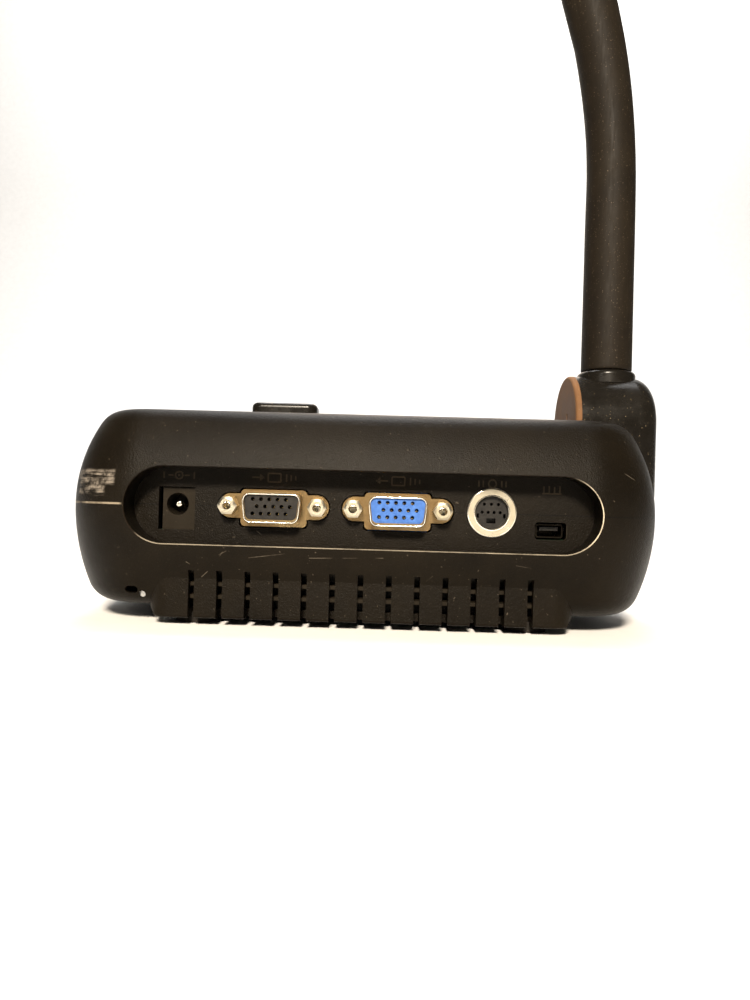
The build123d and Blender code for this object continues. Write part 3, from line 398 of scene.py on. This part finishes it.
# %% Clear parts
def clear_finish(name, tone, index, rough_low, rough_high, coat):
    material, tree, shader = new_finish(name, Transmission_Weight=1.0, IOR=index, Coat_Weight=coat, Base_Color=tone)
    smear = noise(tree, place(tree), 200.0, 5.0, 0.7)
    link(tree, ramp(tree, smear, 0.4, 0.7, rough_low, rough_high), shader.inputs["Roughness"])
    bump(tree, shader, smear, 0.002 * MM)
    return material


LENS = clear_finish("coated_glass", rgb(226, 224, 240), 1.52, 0.01, 0.06, 0.4)
LAMP = clear_finish("lamp_acrylic", rgb(250, 246, 232), 1.49, 0.12, 0.3, 0.0)

# %% [markdown]
# Every CAD node keeps its mesh and takes a finish by its name. A dictionary from finish to node
# names is shorter and easier to check than a material line for each, and the last line prints how
# many nodes hold one finish.

# %% Finish the CAD nodes
GOOSENECK_LINKS = 7
FINISHES = {
    HOUSING: "top_housing bottom_housing",
    GLOSS: "neck_block neck_collar power_button freeze_button source_button zoom_out_button zoom_in_button"
           " lamp_button head_bezel",
    FOOT_RUBBER: "rubber_feet",
    NICKEL: "vga_in_shell vga_out_shell",
    TIN: "mini_din_shell jackscrews",
    BRIGHT_TIN: "dc_jack_pin",
    METAL_PAINTED_SHADE: "mini_usb_shell",
    COVER_PAINTED_WARM_LIGHT: "neck_cover",
    STEEL: "housing_screws neck_axle friction_washers axle_nut hinge_bracket yoke_pin ballast_plate",
    ALUMINIUM: "heat_sink",
    BLACK_INSERT: "vga_in_insert mini_din_insert mini_usb_tongue control_switches video_chip",
    BLUE_INSERT: "vga_out_insert",
    BOARD: "main_board control_board sensor_board",
    LENS: "lens_glass",
    LAMP: "head_lamps",
}


def paint(piece, material):
    """Give a piece one finish, in place of whatever it came with."""
    piece.data.materials.clear()
    piece.data.materials.append(material)


for finish, names in FINISHES.items():
    for name in names.split():
        paint(nodes[name], finish)
HEAD_PLASTIC, tree, shader, _, tone = sparked_plastic("head_charcoal", rgb(24, 20, 15), rgb(33, 28, 21))
link(tree, tone, shader.inputs["Base Color"])
JACK_PLASTIC, tree, shader, _, tone = sparked_plastic(
    "jack_plastic", rgb(28, 24, 18), rgb(38, 33, 26), 0.3, 0.42, 3800.0, 0.02 * MM)
link(tree, tone, shader.inputs["Base Color"])
for name in ("head_shell", "head_yoke", "lens_barrel", "focus_ring"):
    paint(nodes[name], HEAD_PLASTIC)
for name in ("dc_jack_body", "vent_baffle"):
    paint(nodes[name], JACK_PLASTIC)
for number in range(GOOSENECK_LINKS):
    paint(nodes[f"gooseneck_core_{number}"], STEEL)
    paint(nodes[f"gooseneck_sleeve_{number}"], SLEEVE_RUBBER)
painted = sum(1 for node in nodes.values() if len(node.data.materials) == 1)
print("nodes with their one finish:", painted, "of", len(nodes))

# %% [markdown]
# New pieces are built as meshes in the row frame. Three helpers cover most of them: one turns a
# bmesh into a piece that rides on a body, one adds a block with rounded edges, and one adds a ring
# or tube by spinning a small section about an axis.

# %% Mesh helpers
def finish_piece(name, mesh_builder, material, body, smooth=35.0):
    """Make a piece from a bmesh, shade it smooth below an angle, and let it ride on a body."""
    mesh = bpy.data.meshes.new(name)
    bmesh.ops.recalc_face_normals(mesh_builder, faces=mesh_builder.faces)
    mesh_builder.to_mesh(mesh)
    mesh_builder.free()
    piece = bpy.data.objects.new(name, mesh)
    bpy.context.scene.collection.objects.link(piece)
    mesh.materials.append(material)
    for polygon in mesh.polygons:
        polygon.use_smooth = True
    mesh.set_sharp_from_angle(angle=math.radians(smooth))
    if body:
        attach(piece, body)
    print(name, len(mesh.polygons), "faces")
    return piece


def block(builder, low, high, edge=0.0, steps=2):
    """Add a block between two corners, its edges rounded by edge."""
    size = Vector(high) - Vector(low)
    centre = (Vector(high) + Vector(low)) / 2
    stretched = Matrix.Translation(centre) @ Matrix.Diagonal((*size, 1))
    made = bmesh.ops.create_cube(builder, size=1.0, matrix=stretched)
    if edge:
        edges = {e for v in made["verts"] for e in v.link_edges}
        bmesh.ops.bevel(builder, geom=list(edges), offset=edge, segments=steps, affect="EDGES", profile=0.5)


def lathe(builder, section, centre, axis, steps=32):
    """Spin (radius, height) points, a closed section, about an axis through centre."""
    frame_of = Vector(axis).to_track_quat("Z", "Y").to_matrix()
    rings = []
    for step in range(steps):
        turn = 2 * math.pi * step / steps
        rings.append([
            builder.verts.new(Vector(centre) + frame_of @ Vector((r * math.cos(turn), r * math.sin(turn), h)))
            for r, h in section
        ])
    for here, there in zip(rings, rings[1:] + rings[:1]):
        for i in range(len(section)):
            j = (i + 1) % len(section)
            builder.faces.new((here[i], here[j], there[j], there[i]))


# %% [markdown]
# The gooseneck's core is a chain of ball joints, and its CAD sleeve is cut at each one. The real
# sleeve is one rubber tube. It is made here as a skin along the same centreline: a straight run out
# of the collar, a long gentle bend, then the arch over the desk. The skin is cut in the middle of
# each link, not at the joints, so that every stretch crosses one joint; only the first and the last stretch ride on
# a body.

# %% The centreline of the gooseneck
collar_low, collar_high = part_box("neck_collar")
START = Vector(((collar_low.x + collar_high.x) / 2, (collar_low.y + collar_high.y) / 2, collar_high.z))
LINK_LENGTHS = [30.0 * MM, 30.0 * MM, 64.0 * MM] + [43.1 * MM] * 4
LINK_RADII = [None, None, 240.0 * MM] + [110.0 * MM] * 4
SLEEVE_LENGTH = sum(LINK_LENGTHS)


def centre_at(distance):
    """Point and lean (radians from upright, towards +X) at a distance along the sleeve."""
    point, lean = START.copy(), 0.0
    for length, radius in zip(LINK_LENGTHS, LINK_RADII):
        step = min(distance, length)
        if radius is None:
            point += Vector((math.sin(lean), 0, math.cos(lean))) * step
        else:
            turn = step / radius
            point.x += radius * (math.cos(lean) - math.cos(lean + turn))
            point.z += radius * (math.sin(lean + turn) - math.sin(lean))
            lean += turn
        distance -= step
        if distance <= 0:
            break
    return point, lean


tip, tip_lean = centre_at(SLEEVE_LENGTH)
print("sleeve", round(SLEEVE_LENGTH / MM, 1), "mm, tip at", [round(v / MM, 2) for v in tip])
print("tip leans", round(math.degrees(tip_lean), 2), "degrees")

# %% [markdown]
# The tube isn't perfectly even: it is stretched thinner where it stands straight and packs thicker
# on the bend. Its lower end has a rolled lip against the collar. Each stretch is a ring of points
# swept along the centreline, closed inside so that it has a wall.

# %% The sleeve's skin
SKIN_SIDES = 56
SKIN_STEP = 1.1 * MM
SLEEVE_RADIUS = 8.1 * MM
SLEEVE_WALL = 1.6 * MM
SKIN_PROFILE = [(0, 8.1), (40, 8.0), (75, 7.8), (112, 8.05), (140, 8.45), (175, 8.3), (215, 8.1), (400, 8.1)]


def skin_radius(distance):
    at = distance / MM
    for (d0, r0), (d1, r1) in zip(SKIN_PROFILE, SKIN_PROFILE[1:]):
        if at <= d1:
            share = (at - d0) / (d1 - d0)
            share = share * share * (3 - 2 * share)
            return (r0 + (r1 - r0) * share) * MM
    return SLEEVE_RADIUS


def skin_stretch(builder, first, last, lip_first=False, lip_last=False):
    """Sweep the sleeve's ring from one distance to another, with a wall, and with a lip at a free end."""
    count = max(2, round((last - first) / SKIN_STEP))
    stops = [(first + (last - first) * i / count, 0.0) for i in range(count + 1)]
    if lip_first:
        stops = [(first, -0.55 * MM), (first + 0.15 * MM, -0.15 * MM), (first + 0.5 * MM, 0.0)] + stops[1:]
    if lip_last:
        stops = stops[:-1] + [(last - 0.5 * MM, 0.0), (last - 0.15 * MM, -0.15 * MM), (last, -0.55 * MM)]
    stops = stops + [(last, -SLEEVE_WALL), (first, -SLEEVE_WALL)]
    rings = []
    for distance, shrink in stops:
        middle, lean = centre_at(distance)
        across = Vector((math.cos(lean), 0, -math.sin(lean)))
        reach = skin_radius(distance) + shrink
        rings.append([
            builder.verts.new(middle + (across * math.cos(a) + Vector((0, 1, 0)) * math.sin(a)) * reach)
            for a in (2 * math.pi * k / SKIN_SIDES for k in range(SKIN_SIDES))
        ])
    for here, there in zip(rings, rings[1:] + rings[:1]):
        for k in range(SKIN_SIDES):
            n = (k + 1) % SKIN_SIDES
            builder.faces.new((here[k], here[n], there[n], there[k]))


CHAIN = ["neck"] + [f"gooseneck_{n}" for n in range(1, GOOSENECK_LINKS)]
starts = [sum(LINK_LENGTHS[:n]) for n in range(GOOSENECK_LINKS)]
middles = [start + length / 2 for start, length in zip(starts, LINK_LENGTHS)]
SLEEVE_LIFT = 0.3 * MM
SLEEVE_END = SLEEVE_LENGTH - 1.6 * MM
for number in range(GOOSENECK_LINKS + 1):
    first = SLEEVE_LIFT if number == 0 else middles[number - 1]
    last = SLEEVE_END if number == GOOSENECK_LINKS else middles[number]
    builder = bmesh.new()
    skin_stretch(builder, first, last, number == 0, number == GOOSENECK_LINKS)
    body = CHAIN[0] if number == 0 else CHAIN[-1] if number == GOOSENECK_LINKS else None
    skin = finish_piece(f"sleeve_skin_{number}", builder, SLEEVE_RUBBER, body, 50.0)
    if body is None:
        bend_start, bend_end = (centre_at(middles[k])[0] for k in (number - 1, number))
        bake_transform(skin)
    if number < GOOSENECK_LINKS:
        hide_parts(f"gooseneck_sleeve_{number}")

# %% [markdown]
# Small raised signs above the sockets tell them apart. They are moulded with the panel, a third of
# a millimetre high, and are painted a shade paler than it, a painted highlight for the light their raised faces
# catch. Plain shapes are used: a bar and ring for the power inlet, an arrow into or out of a frame for video, a
# dotted ring for the round socket, bars for data.

# %% Signs above the sockets
SIGN_Z = 41.4 * MM
SIGN_RISE = 0.32 * MM
SIGN_LINE = 0.42 * MM
SIGN_BACK = 0.05 * MM


def sign_bar(builder, x, z, width, height):
    low = (x - width / 2, PANEL_Y - SIGN_BACK, z - height / 2)
    high = (x + width / 2, PANEL_Y + SIGN_RISE, z + height / 2)
    block(builder, low, high, 0.05 * MM, 1)


def sign_ring(builder, x, z, radius):
    inner = radius - SIGN_LINE
    section = [(inner, -SIGN_BACK), (radius, -SIGN_BACK), (radius, SIGN_RISE), (inner, SIGN_RISE)]
    lathe(builder, section, (x, PANEL_Y, z), (0, 1, 0), 24)


def sign_frame(builder, x, z, width, height):
    for side in (-1, 1):
        sign_bar(builder, x, z + side * height / 2, width, SIGN_LINE)
        sign_bar(builder, x + side * width / 2, z, SIGN_LINE, height)


def sign_arrow(builder, x, z, length, towards):
    """An arrow along X whose head points towards +X (1) or -X (-1)."""
    sign_bar(builder, x, z, length, SIGN_LINE)
    tip_x = x + towards * length / 2
    for rise in (0.25, 0.5, 0.75):
        sign_bar(builder, tip_x - towards * rise * 1.4 * MM, z, SIGN_LINE, 2 * rise * 1.2 * MM)


def middle_x(name):
    low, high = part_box(name)
    return (low.x + high.x) / 2


def sign_inlet(builder, x, z):
    sign_ring(builder, x, z, 1.25 * MM)
    for side in (-1, 1):
        sign_bar(builder, x + side * 2.3 * MM, z, 1.5 * MM, SIGN_LINE)
        sign_bar(builder, x + side * 4.3 * MM, z, SIGN_LINE, 1.9 * MM)
    sign_bar(builder, x, z, 0.6 * MM, 0.6 * MM)


def sign_video(builder, x, z, towards):
    sign_frame(builder, x, z, 3.6 * MM, 2.4 * MM)
    sign_arrow(builder, x + 4.6 * MM, z, 3.4 * MM, towards)
    for step in range(3):
        sign_bar(builder, x - (3.4 + 1.3 * step) * MM, z, SIGN_LINE, 2.2 * MM - step * 0.5 * MM)


def sign_round(builder, x, z):
    sign_ring(builder, x, z, 1.3 * MM)
    for side in (-1, 1):
        for step in range(2):
            sign_bar(builder, x + side * (2.6 + 1.2 * step) * MM, z, SIGN_LINE, 1.8 * MM)


def sign_data(builder, x, z):
    for step in range(4):
        sign_bar(builder, x + (step - 1.5) * 1.5 * MM, z, SIGN_LINE, (2.2 - 0.4 * (step % 2)) * MM)
    sign_bar(builder, x, z - 1.1 * MM, 5.4 * MM, SIGN_LINE)


# The signs' paler tone is a painted highlight, not a colour of their own.
SIGN_PLASTIC_PAINTED_LIGHT, tree, shader, _, tone = sparked_plastic(
    "sign_plastic_painted_light", rgb(46, 40, 31), rgb(60, 52, 41), 0.3, 0.4, 3600.0, 0.02 * MM)
link(tree, tone, shader.inputs["Base Color"])
builder = bmesh.new()
sign_inlet(builder, middle_x("dc_jack_body"), SIGN_Z)
sign_video(builder, middle_x("vga_in_shell"), SIGN_Z, -1)
sign_video(builder, middle_x("vga_out_shell"), SIGN_Z, 1)
sign_round(builder, middle_x("mini_din_shell"), SIGN_Z)
sign_data(builder, middle_x("mini_usb_shell"), SIGN_Z - 1.2 * MM)
finish_piece("socket_signs", builder, SIGN_PLASTIC_PAINTED_LIGHT, "base")

# %% [markdown]
# A moulded edge is never sharp: where a wall meets a face it is rolled over and polished by hands,
# and it draws a thin line of light. A bead swept along the edge makes that line. The same helper
# makes the rolled rims of the metal sockets. A bead is a small circle carried round a closed path;
# at each point the circle stands across the path.

# %% Beads along edges
def bead(builder, path, radius, sides=8):
    count = len(path)
    rings = []
    for i, point in enumerate(path):
        along = (path[(i + 1) % count] - path[i - 1]).normalized()
        outward = Vector((0, 1, 0)) - along * along.y
        outward.normalize()
        across = along.cross(outward)
        rings.append([
            builder.verts.new(point + (outward * math.cos(a) + across * math.sin(a)) * radius)
            for a in (2 * math.pi * k / sides for k in range(sides))
        ])
    for here, there in zip(rings, rings[1:] + rings[:1]):
        for k in range(sides):
            n = (k + 1) % sides
            builder.faces.new((here[k], here[n], there[n], there[k]))


def rounded_outline(x, z, corners, radius, steps=6):
    """Points of a convex outline with rounded corners; corners are (x, z) from the middle, anticlockwise."""
    points = []
    for i, corner in enumerate(corners):
        here = Vector(corner)
        before = (Vector(corners[i - 1]) - here).normalized()
        after = (Vector(corners[(i + 1) % len(corners)]) - here).normalized()
        reach = radius / math.tan(before.angle(after) / 2)
        centre = here + (before + after).normalized() * radius / math.sin(before.angle(after) / 2)
        first, last = here + before * reach - centre, here + after * reach - centre
        sweep = first.angle_signed(last)
        for step in range(steps + 1):
            turned = first.copy()
            turned.rotate(Matrix.Rotation(-sweep * step / steps, 2))
            points.append((x + centre.x + turned.x, z + centre.y + turned.y))
    return points


def stadium(half_length, radius, steps=40):
    """Points of a slot-shaped outline about the seam's middle."""
    flat = half_length - radius
    points = []
    for side in (1, -1):
        for step in range(steps + 1):
            a = math.pi * (step / steps - 0.5)
            points.append((side * (flat + radius * math.cos(a)), SEAM_Z + side * radius * math.sin(a)))
    return points


# %% [markdown]
# The mouth of the recess lies on the shell's bulging side, so its edge swings in as it leaves the
# parting line, and again where the plan turns the corner. Two arcs give that depth at any point.

# %% The recess's edges
PLAN_CORNER = 24.0 * MM
UPPER_BULGE, LOWER_BULGE = 46.0 * MM, 62.0 * MM
UPPER_LEAN = math.radians(0.5)
RECESS_HALF, RECESS_RADIUS = 65.0 * MM, 10.75 * MM


def side_inset(z):
    """How far the side has drawn in at a height, from its widest at the parting line."""
    rise = z - SEAM_Z
    if rise < 0:
        return LOWER_BULGE - math.sqrt(LOWER_BULGE ** 2 - rise ** 2)
    lean_rise = rise + UPPER_BULGE * math.sin(UPPER_LEAN)
    return UPPER_BULGE * math.cos(UPPER_LEAN) - math.sqrt(UPPER_BULGE ** 2 - lean_rise ** 2)


def rear_face(x, z):
    """The point of the shell's rear face at x and z."""
    reach = PLAN_CORNER - side_inset(z)
    past = max(0.0, abs(x) - (shell_high.x - PLAN_CORNER))
    return Vector((x, REAR_Y - PLAN_CORNER + math.sqrt(reach ** 2 - past ** 2), z))


# The edge beads turn pale towards the -X end and along the lower edge of the recess: that pale colour is a painted
# highlight, broken up by noise, where these edges catch the light.
SHEEN_EDGE_PLASTIC, tree, shader, where, tone = sparked_plastic(
    "edge_painted_sheen", rgb(22, 18, 13), rgb(34, 28, 21), 0.2, 0.34, 3000.0, 0.015 * MM)
axes = add(tree, "ShaderNodeSeparateXYZ")
link(tree, where, axes.inputs["Vector"])
end = ramp(tree, axes.outputs["X"], -57 * MM, -62 * MM)
below = ramp(tree, axes.outputs["Z"], SEAM_Z - 7.5 * MM, SEAM_Z - 9.5 * MM, 0.0, 0.4)
rub_and_sheen_breakup = ramp(tree, noise(tree, where, 160.0, 4.0, 0.6), 0.3, 0.55, 0.25, 0.9)
broken_sheen = math_node(tree, "MULTIPLY", math_node(tree, "MAXIMUM", end, below), rub_and_sheen_breakup)
link(tree, mix(tree, broken_sheen, tone, rgb(196, 184, 162)), shader.inputs["Base Color"])
builder = bmesh.new()
MOUTH_SUNK = Vector((0, -0.12 * MM, 0))
MOUTH_BEAD, FOOT_BEAD, FOOT_SET = 0.26 * MM, 0.16 * MM, 0.05 * MM
mouth = stadium(RECESS_HALF, RECESS_RADIUS)
foot = stadium(RECESS_HALF - FOOT_SET, RECESS_RADIUS - FOOT_SET)
bead(builder, [rear_face(x, z) + MOUTH_SUNK for x, z in mouth], MOUTH_BEAD)
bead(builder, [Vector((x, PANEL_Y, z)) for x, z in foot], FOOT_BEAD)
finish_piece("recess_edges", builder, SHEEN_EDGE_PLASTIC, "base", 180.0)

# %% [markdown]
# The parting line shows on the panel too, as short glints where the two halves meet between the
# sockets. They are painted highlights: slivers of bright tin laid on the seam.

# %% Painted glints on the parting line
PAINTED_GLINT_X = [44.7, 8.1, -27.9, 62.0]
builder = bmesh.new()
for x in PAINTED_GLINT_X:
    low = ((x - 0.55) * MM, PANEL_Y - 0.05 * MM, SEAM_Z - 0.09 * MM)
    high = ((x + 0.55) * MM, PANEL_Y + 0.05 * MM, SEAM_Z + 0.1 * MM)
    block(builder, low, high, 0.03 * MM, 1)
finish_piece("painted_seam_glints", builder, BRIGHT_TIN, "base")

# %% [markdown]
# Each video socket is a drawn steel shell: its rim is bright, and round its foot a flat black band on
# the flange is painted shade for the dark crease where the shell leaves it. Fifteen sprung contacts lie in the
# insert's holes, in three rows, the middle one set over by a quarter of the pitch each way.

# %% Rims, painted crease shade and contacts of the video sockets
D_TOP, D_BOTTOM, D_HALF, D_CORNER = 8.3 * MM, 7.45 * MM, 4.15 * MM, 2.0 * MM
RIM_RADIUS = 0.27 * MM
CREASE_SHADE_WIDTH = 0.75 * MM
CONTACT_PITCH, CONTACT_ROW = 2.29 * MM, 2.0 * MM


def d_shape(x, z, grow=0.0):
    bottom, top, half = D_BOTTOM + grow, D_TOP + grow, D_HALF + grow
    corners = [(-bottom, -half), (bottom, -half), (top, half), (-top, half)]
    return rounded_outline(x, z, corners, D_CORNER + grow)


def ribbon(builder, inner, outer, y):
    """A flat band facing the rear between two outlines with as many points."""
    first = [builder.verts.new((x, y, z)) for x, z in inner]
    last = [builder.verts.new((x, y, z)) for x, z in outer]
    for i in range(len(first)):
        n = (i + 1) % len(first)
        builder.faces.new((first[i], first[n], last[n], last[i]))


def tube_y(builder, x, y, z, outer, inner, length, steps=14):
    lathe(builder, [(inner, -length), (outer, -length), (outer, 0.0), (inner, 0.0)], (x, y, z), (0, 1, 0), steps)


def video_socket(shell):
    low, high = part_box(shell)
    x, z, rim_y = (low.x + high.x) / 2, (low.z + high.z) / 2, high.y
    flange_y = PANEL_Y - 0.2 * MM
    builder = bmesh.new()
    bead(builder, [Vector((px, rim_y - 0.16 * MM, pz)) for px, pz in d_shape(x, z, -0.25 * MM)], RIM_RADIUS)
    finish_piece(shell + "_rim", builder, BRIGHT_TIN, "base", 180.0)
    # Two flat black bands round the shell's foot are painted shade for its crease.
    builder = bmesh.new()
    for lift in (0.03, 0.06):
        ribbon(builder, d_shape(x, z), d_shape(x, z, CREASE_SHADE_WIDTH), flange_y + lift * MM)
    finish_piece(shell + "_crease_painted_shade", builder, PAINTED_SHADE_BLACK, "base")
    builder = bmesh.new()
    for row in (-1, 0, 1):
        shift = -CONTACT_PITCH / 4 if row == 0 else CONTACT_PITCH / 4
        for column in range(5):
            contact_x = x + (column - 2) * CONTACT_PITCH + shift
            front = flange_y + 2.4 * MM
            tube_y(builder, contact_x, front, z + row * CONTACT_ROW, 0.45 * MM, 0.25 * MM, 2.0 * MM)
    finish_piece(shell + "_contacts", builder, GOLD, "base")


# A near-black finish for the painted crease shade.
PAINTED_SHADE_BLACK = insert_finish("crease_painted_shade", rgb(10, 8, 6), rgb(22, 18, 13), 0.6)
for shell in ("vga_in_shell", "vga_out_shell"):
    video_socket(shell)

# %% [markdown]
# A jackscrew is threaded inside, and the light catches a turned lip round its hole. A helix would be
# lost at this size, so three fine rings stand for the first threads, with the lip in front of them.

# %% Threads and lips of the jackscrews
SCREW_SPACING = 24.99 * MM
HEX_LENGTH = 4.7 * MM
LIP_SECTION = [(1.2, -0.5), (1.55, -0.5), (1.5, 0.02), (1.32, 0.06), (1.2, -0.1)]
THREAD_SECTION = [(1.0, -0.12), (1.21, -0.26), (1.21, 0.02)]


def in_metres(section):
    """A section given in millimetres, as (radius, place along the axis)."""
    return [(radius * MM, along * MM) for radius, along in section]


lips, threads = bmesh.new(), bmesh.new()
for shell in ("vga_in_shell", "vga_out_shell"):
    low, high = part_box(shell)
    for side in (-1, 1):
        x, z = (low.x + high.x) / 2 + side * SCREW_SPACING / 2, (low.z + high.z) / 2
        front = PANEL_Y - 0.2 * MM + HEX_LENGTH
        lathe(lips, in_metres(LIP_SECTION), (x, front, z), (0, 1, 0), 28)
        for turn in range(4):
            turn_y = front - (0.7 + 0.65 * turn) * MM
            lathe(threads, in_metres(THREAD_SECTION), (x, turn_y, z), (0, 1, 0), 24)
finish_piece("jackscrew_lips", lips, BRIGHT_TIN, "base")
finish_piece("jackscrew_threads", threads, NICKEL, "base")

# %% [markdown]
# The round socket's ring has a polished lip inside, and the small data socket has a bead along the
# edge where its opening is cut through the panel.

# %% Lips of the other openings
low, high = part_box("mini_din_shell")
builder = bmesh.new()
RING_LIP = [(4.72, -0.6), (5.15, -0.3), (5.1, 0.05), (4.86, 0.07), (4.72, -0.06)]
lathe(builder, in_metres(RING_LIP),
      ((low.x + high.x) / 2, high.y, (low.z + high.z) / 2), (0, 1, 0), 64)
lathe(builder, [(6.5 * MM, -0.3 * MM), (6.86 * MM, -0.3 * MM), (6.83 * MM, 0.0), (6.6 * MM, 0.05 * MM)],
      ((low.x + high.x) / 2, high.y, (low.z + high.z) / 2), (0, 1, 0), 64)
finish_piece("mini_din_lip", builder, BRIGHT_TIN, "base")


def box_corners(width, height):
    half_x, half_z = width / 2, height / 2
    return [(-half_x, -half_z), (half_x, -half_z), (half_x, half_z), (-half_x, half_z)]


builder = bmesh.new()
low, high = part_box("mini_usb_shell")
usb_x, usb_z = (low.x + high.x) / 2, (low.z + high.z) / 2
DATA_CUT, DATA_CORNER = (9.1 * MM, 5.1 * MM), 1.1 * MM
outline = rounded_outline(usb_x, usb_z, box_corners(*DATA_CUT), DATA_CORNER)
bead(builder, [Vector((x, PANEL_Y - 0.06 * MM, z)) for x, z in outline], 0.14 * MM)
finish_piece("data_socket_edge", builder, SHEEN_EDGE_PLASTIC, "base", 180.0)

# %% [markdown]
# The stage is a seamless sheet of pale paper: it lies under the object and sweeps up far behind it,
# so no horizon shows. One mesh is enough, a profile of points pulled wide.

# %% Floor and backdrop
def paper_finish():
    material, tree, shader = new_finish("pale_paper", Roughness=0.9, Specular_IOR_Level=0.1)
    where = place(tree)
    fibres = noise(tree, where, 90.0, 5.0, 0.6)
    shade, pale = (0.66, 0.655, 0.645, 1), (0.7, 0.695, 0.685, 1)
    link(tree, mix(tree, ramp(tree, fibres, 0.3, 0.7), shade, pale), shader.inputs["Base Color"])
    bump(tree, shader, fibres, 0.02 * MM)
    return material


def sweep_profile(front=2.2, back=-1.6, radius=0.8, height=2.6, steps=16):
    points = [(front, 0.0), (back + radius, 0.0)]
    for step in range(1, steps + 1):
        a = math.pi / 2 * step / steps
        points.append((back + radius - radius * math.sin(a), radius - radius * math.cos(a)))
    return points + [(back, height)]


builder = bmesh.new()
left_edge, right_edge = ([builder.verts.new((x, y, z)) for y, z in sweep_profile()] for x in (-3.0, 3.0))
for i in range(len(left_edge) - 1):
    builder.faces.new((left_edge[i], right_edge[i], right_edge[i + 1], left_edge[i + 1]))
paper = finish_piece("paper_sweep", builder, paper_finish(), None, 80.0)

# %% [markdown]
# Dark plastic shows its shape by what it reflects. One small strong lamp above the viewer lays a
# sheen on the band over the recess, a low warm one behind draws the brown line along the top edge,
# and a tiny one to the side gives the metal its points of light. A large one far above washes the
# backdrop, and a weak one fills in from overhead. The room itself is a dim warm grey.

# %% Lamps and room
def lamp(name, place_at, aim, size, power, colour=(1, 1, 1)):
    light = bpy.data.lights.new(name, "AREA")
    light.shape, light.size, light.energy, light.color = "SQUARE", size, power, colour
    lamp_object = bpy.data.objects.new(name, light)
    lamp_object.location = place_at
    lamp_object.rotation_euler = (Vector(aim) - Vector(place_at)).to_track_quat("-Z", "Y").to_euler()
    bpy.context.scene.collection.objects.link(lamp_object)
    return lamp_object


lamp("key_above_viewer", (0.04, 0.84, 0.54), (0, 0, 0.04), 0.16, 26.0, (1, 0.88, 0.72))
lamp("soft_overhead", (0.1, 0.3, 1.2), (0, 0.25, 0.0), 0.8, 0.6, (1, 0.95, 0.88))
lamp("warm_back", (-0.05, -0.55, 0.42), (0, 0, 0.06), 0.4, 0.7, (1, 0.7, 0.45))
lamp("backdrop_wash", (0.0, -0.8, 1.9), (0, -1.5, 0.4), 1.2, 56.0)
lamp("point_of_light", (0.26, 0.5, 0.24), (0, 0, 0.04), 0.03, 0.25, (1, 0.93, 0.82))

room = bpy.data.worlds.new("room")
room.use_nodes = True
room.node_tree.nodes["Background"].inputs["Color"].default_value = (0.9, 0.87, 0.83, 1)
room.node_tree.nodes["Background"].inputs["Strength"].default_value = 0.1
bpy.context.scene.world = room

# %% [markdown]
# The camera stands close behind the base, level with the sockets, and leans a little to one side as
# a hand-held shot does. Its direction is built from three vectors: forward, right and up.

# %% Camera
CAMERA_PLACE = Vector((-6.28, 249.04, 34.69)) * MM
CAMERA_FORWARD = Vector((0.01438, -0.99988, 0.0058)).normalized()
CAMERA_TILT = math.radians(1.636)
LENS_LENGTH = 27.0

level_right = CAMERA_FORWARD.cross(Vector((0, 0, 1))).normalized()
level_up = level_right.cross(CAMERA_FORWARD)
right = level_right * math.cos(CAMERA_TILT) + level_up * math.sin(CAMERA_TILT)
up = right.cross(CAMERA_FORWARD)
turn = Matrix((right, up, -CAMERA_FORWARD)).transposed()

camera_data = bpy.data.cameras.new("camera")
camera_data.lens = LENS_LENGTH
camera_data.clip_start = 0.01
camera = bpy.data.objects.new("camera", camera_data)
camera.matrix_world = Matrix.Translation(CAMERA_PLACE) @ turn.to_4x4()
bpy.context.scene.collection.objects.link(camera)
bpy.context.scene.camera = camera
bpy.context.scene.view_settings.view_transform = "Standard"

# %% [markdown]
# Last, the view layer is updated.

# %% Update the view layer
bpy.context.view_layer.update()
